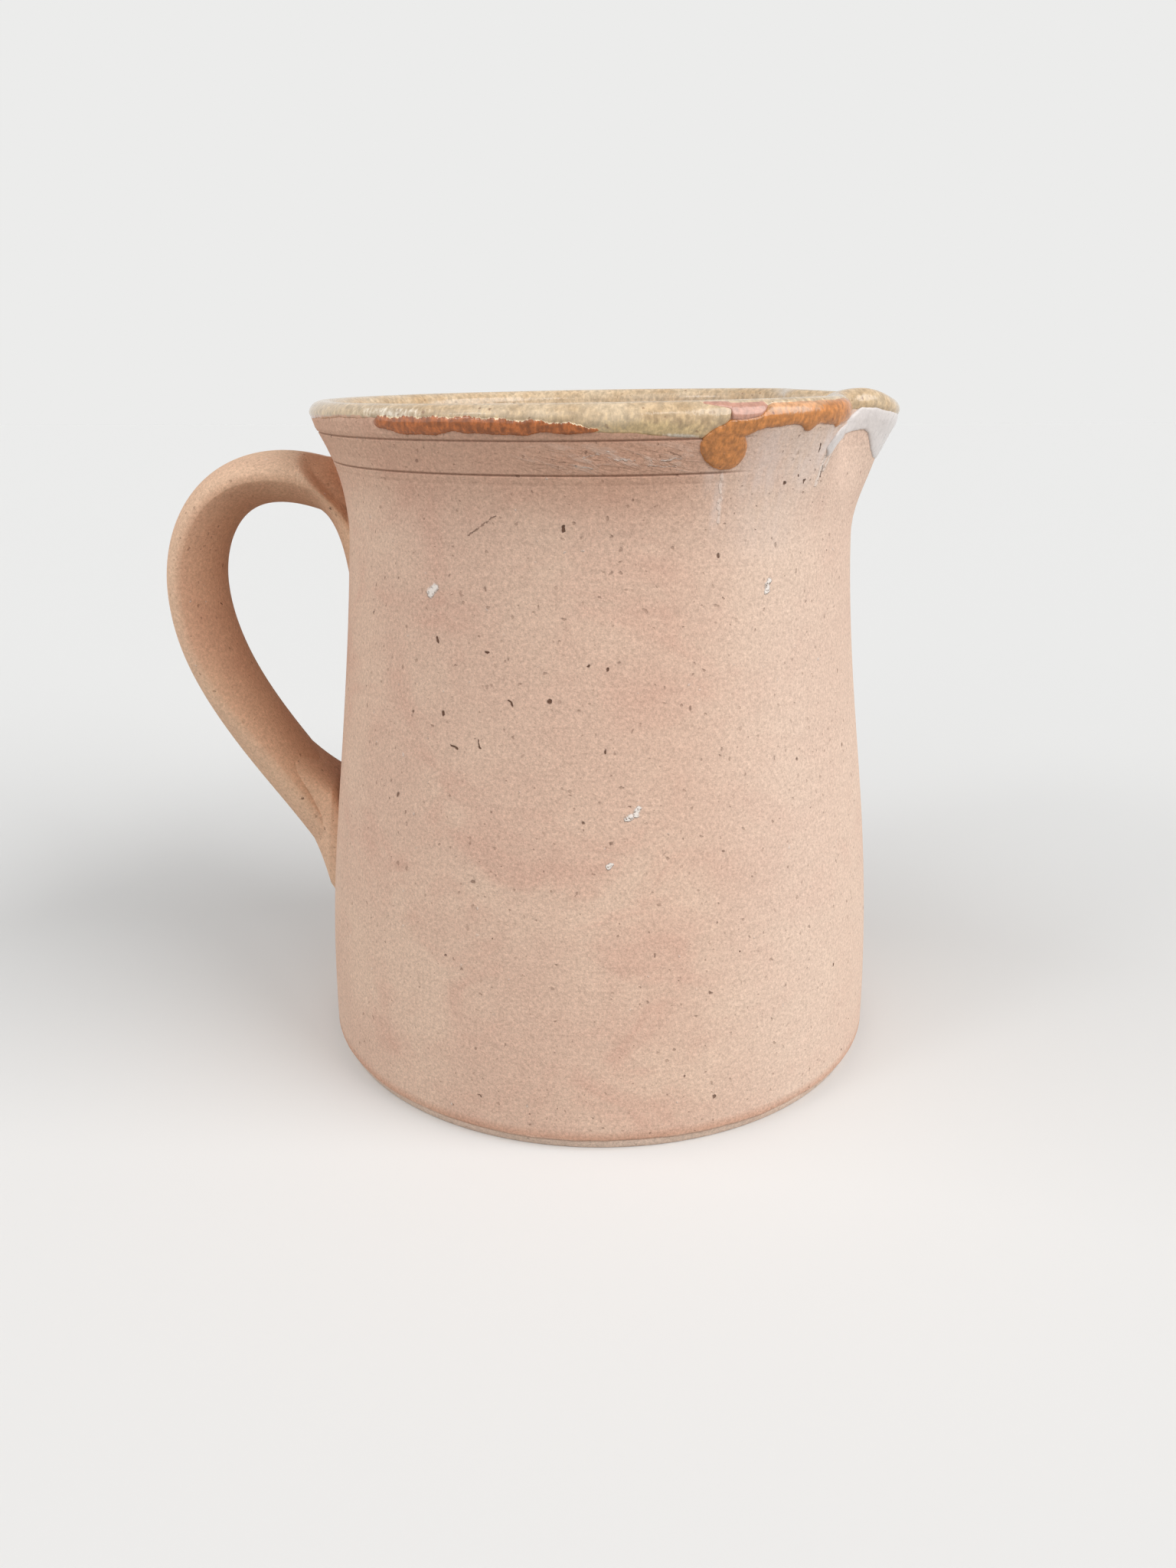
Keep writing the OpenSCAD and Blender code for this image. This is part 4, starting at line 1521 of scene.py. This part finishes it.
BAND = GlazeRun(
    "brown_band",
    top=((-72.6, 7.0), (-72.1, 6.2), (-70.7, 5.0), (-69.1, 4.1), (-68.1, 3.3), (-65.5, 3.2), (-63.2, 2.8),
         (-62.4, 2.3), (-61.5, 1.5), (-60.5, 0.7), (-59.5, 0.3), (-58, 0.25), (-48, 0.2), (-40, 0.1),
         (-36, 0.3), (-34, 1.4)),
    bottom=((-72.6, 7.8), (-71, 7.9), (-66, 7.6), (-64.9, 6.9), (-62.7, 5.9), (-60.4, 5.4), (-57.9, 5.2),
            (-55.3, 5.0), (-53.6, 5.1), (-52.9, 5.5), (-52.2, 6.2), (-51.5, 6.5), (-50.9, 6.5), (-50.3, 6.1),
            (-49.7, 5.5), (-49, 5.1), (-47.8, 5.1), (-44.6, 5.5), (-43.6, 6.2), (-41.9, 5.6), (-38, 4.7),
            (-34, 3.5)),
    seed=31, top_ripple=0.1, bottom_ripple=0.12, waves=FINE_WAVES, step=0.1, thickness=0.7,
    rich_from=((-73, 0), (-63.5, 0), (-61, 2.3), (-54, 2.5), (-50, 1.9), (-46.5, 0.7), (-43, 0), (-34, 0)))
DROP = GlazeDrop(
    "brown_drop", middle=(-68.3, 10.2),
    outline=((10, 6.1), (27, 5.7), (44, 5.0), (67, 4.1), (101, 3.5), (141, 3.8), (167, 4.7), (188, 5.8),
             (201, 6.3), (217, 6.0), (240, 5.2), (270, 4.8), (300, 5.2), (323, 5.6), (339, 5.75), (354, 6.0)))
PINK_PATCH = GlazeRun(
    "pink_patch",
    top=((-73.6, 0.15), (-66, 0.05), (-60.6, 0.15)),
    bottom=((-73.6, 0.4), (-72.3, 0.7), (-70.4, 1.1), (-68.7, 1.6), (-68.2, 2.0), (-68, 3.6), (-66.3, 3.7),
            (-63.2, 3.2), (-62.4, 2.7), (-61.5, 1.9), (-60.6, 1.0)),
    seed=41, top_ripple=0.03, bottom_ripple=0.1, thickness=0.72)
WHITE_SLIP = GlazeRun(
    "white_slip",
    top=((-43.2, 9.8), (-42.2, 8.1), (-41, 6.7), (-39, 5.8), (-34, 5.0), (-28, 4.9), (-25.7, 4.8),
         (-24.7, 4.2), (-23.7, 3.5), (-22.5, 3.8), (-18.8, 3.9), (-13.7, 3.5), (0, 3.6), (12, 3.8)),
    bottom=((-43.2, 11.4), (-42, 12.7), (-41, 12.1), (-40.1, 10.7), (-38.6, 9.6), (-32, 8.8), (-27, 9.0),
            (-25.3, 8.8), (-22.7, 8.6), (-21.5, 8.7), (-20, 9.6), (-18.6, 11.4), (-17.1, 13.1),
            (-13.9, 14.6), (-9, 15.4), (-6, 13.7), (-3, 9.4), (4, 7.0), (12, 5.4)),
    seed=51, top_ripple=0.12, bottom_ripple=0.1)


@dataclass
class OuterRuns:
    """The brown, pink and white runs on the outside of the lip and the spout."""

    streak: GlazeRun = STREAK
    band: GlazeRun = BAND
    drop: GlazeDrop = DROP
    pink: GlazeRun = PINK_PATCH
    white: GlazeRun = WHITE_SLIP

    def dress(self) -> None:
        """Build each run and give it its finish."""
        brown = BROWN.material()
        settle(self.streak.build(), "brown_glaze_runs", SHADED_STREAK_BROWN.material())
        settle(self.band.build(), "brown_glaze_runs", brown)
        settle(self.drop.build(), "brown_glaze_runs", brown)
        settle(self.pink.build(), "pink_glaze_patch", PINK.material())
        settle(self.white.build(), "white_slip_run", WHITE.material())


@dataclass(frozen=True)
class Lamp:
    """An even light from one direction, like a large window far away.

    The azimuth is in degrees to the right of the camera, seen from the jug, and the elevation is above the
    floor. The softness is how wide the light looks from the jug, in degrees, and the level is the brightness
    of a white card that faces the light. The distance is in metres.
    """

    name: str
    azimuth: float
    elevation: float
    softness: float
    level: float
    distance: float = 2.0


@dataclass
class Studio:
    """The plain pale floor, the soft light and the camera, whose place and nearest sight are in metres."""

    floor_size: float = 8000.0
    floor_tint: Tint = Tint(236, 236, 235)
    shaded_tint: Tint = Tint(176, 176, 172)
    floor_roughness: float = 0.9
    floor_specular: float = 0.1
    sky_tint: Tint = Tint(236, 236, 235)
    sky_light: Tint = Tint(255, 255, 255)
    sky_strength: float = 0.31
    lamps: tuple[Lamp, ...] = (
        Lamp("window", 65.0, 30.0, 50.0, 0.75),
        Lamp("window_core", 26.0, 38.0, 12.0, 0.05),
        Lamp("fill", -60.0, 30.0, 80.0, 0.46),
        Lamp("fill_core", -56.0, 34.0, 14.0, 0.08),
    )
    image_long_side: float = 2048.0
    focal_pixels: float = 1600.0
    sensor: float = 36.0
    nearest_seen: float = 0.01
    camera_place: Point = (0.0, -0.3423, 0.1879)
    camera_pitch: float = 18.86
    camera_yaw: float = -0.55
    camera_roll: float = -0.14

    def floor(self) -> None:
        """Lay a wide matt floor that looks pale and throws as little light back up as a grey table top."""
        half = self.floor_size / 2.0
        corners = np.array([(-half, -half, 0.0), (half, -half, 0.0), (half, half, 0.0), (-half, half, 0.0)])
        piece = new_object("floor", corners, [[0, 1, 2, 3]])
        s = Shader("pale_floor")
        colour = s.mix(s.looked_at(), self.shaded_tint, self.floor_tint)
        piece.data.materials.append(s.finished(colour, self.floor_roughness, self.floor_specular))

    def sky(self) -> None:
        """Even pale light from all round, shown to the camera as a plain backdrop."""
        world = bpy.data.worlds.new("studio")
        world.use_nodes = True
        s = NodeMaker(world.node_tree)
        light = s.add("Background", {"Color": self.sky_light, "Strength": self.sky_strength})
        shown = s.add("Background", {"Color": self.sky_tint})
        sides = {0: s.looked_at(), 1: light.outputs["Background"], 2: shown.outputs["Background"]}
        choice = s.add("MixShader", sides).outputs["Shader"]
        s.feed(world.node_tree.nodes["World Output"].inputs["Surface"], choice)
        bpy.context.scene.world = world

    def light(self, lamp: Lamp) -> None:
        """Set up one lamp, which looks at the jug.

        Args:
            lamp: The lamp.
        """
        sun = bpy.data.lights.new(lamp.name, "SUN")
        sun.angle = np.radians(lamp.softness)
        sun.energy = lamp.level * np.pi
        side, rise = np.radians([lamp.azimuth, lamp.elevation])
        back = np.array([np.sin(side) * np.cos(rise), -np.cos(side) * np.cos(rise), np.sin(rise)])
        right = np.cross([0.0, 0.0, 1.0], back)
        right /= np.linalg.norm(right)
        self.stand(lamp.name, sun, (right, np.cross(back, right), back), lamp.distance * back)

    @staticmethod
    def stand(name: str, data: bpy.types.ID, axes: tuple[np.ndarray, ...],
              place: Point | np.ndarray) -> bpy.types.Object:
        """Stand a lamp or a camera at a place.

        Args:
            name: Name of the object.
            data: The lamp or the camera.
            axes: Its right, up and back.
            place: Its place in metres.

        Returns:
            The new object, linked to the scene.
        """
        thing = bpy.data.objects.new(name, data)
        rows = np.column_stack([*axes, place])
        thing.matrix_world = Matrix([*rows.tolist(), [0.0, 0.0, 0.0, 1.0]])
        bpy.context.scene.collection.objects.link(thing)
        return thing

    def camera(self) -> None:
        """Stand the camera where the outline fits: facing along y, pitched down, with slight yaw and roll."""
        pitch, yaw, roll = np.radians([self.camera_pitch, self.camera_yaw, self.camera_roll])
        ahead = np.array([np.sin(yaw) * np.cos(pitch), np.cos(yaw) * np.cos(pitch), -np.sin(pitch)])
        level = np.array([np.cos(yaw), -np.sin(yaw), 0.0])
        upright = np.cross(level, ahead)
        right = np.cos(roll) * level + np.sin(roll) * upright
        up = np.cos(roll) * upright - np.sin(roll) * level
        lens = bpy.data.cameras.new("camera")
        lens.sensor_width = self.sensor
        lens.lens = self.sensor * self.focal_pixels / self.image_long_side
        lens.clip_start = self.nearest_seen
        bpy.context.scene.camera = self.stand("camera", lens, (right, up, -ahead), self.camera_place)

    def dress(self) -> None:
        """Set the floor, the light and the camera."""
        self.floor()
        self.sky()
        for lamp in self.lamps:
            self.light(lamp)
        self.camera()
        bpy.context.scene.view_settings.view_transform = "Standard"


def main() -> None:
    """Build the studio, then the jug's pieces in the order of making."""
    logging.basicConfig(level=logging.INFO, format="%(name)s: %(message)s")
    Studio().dress()
    strap = StrapHandle()
    ThrownBody().dress()
    strap.dress()
    JointWad(Joint.UPPER, strap, length=13.0, drop=20.0, rise=2.5, drop_fade=3.4).dress()
    JointWad(Joint.LOWER, strap, length=9.0, drop=6.5, rise=2.0, drop_fade=2.6, sunk=1.5, spread=3.0).dress()
    CreamLining().dress()
    OuterRuns().dress()
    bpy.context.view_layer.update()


if __name__ == "__main__":
    main()
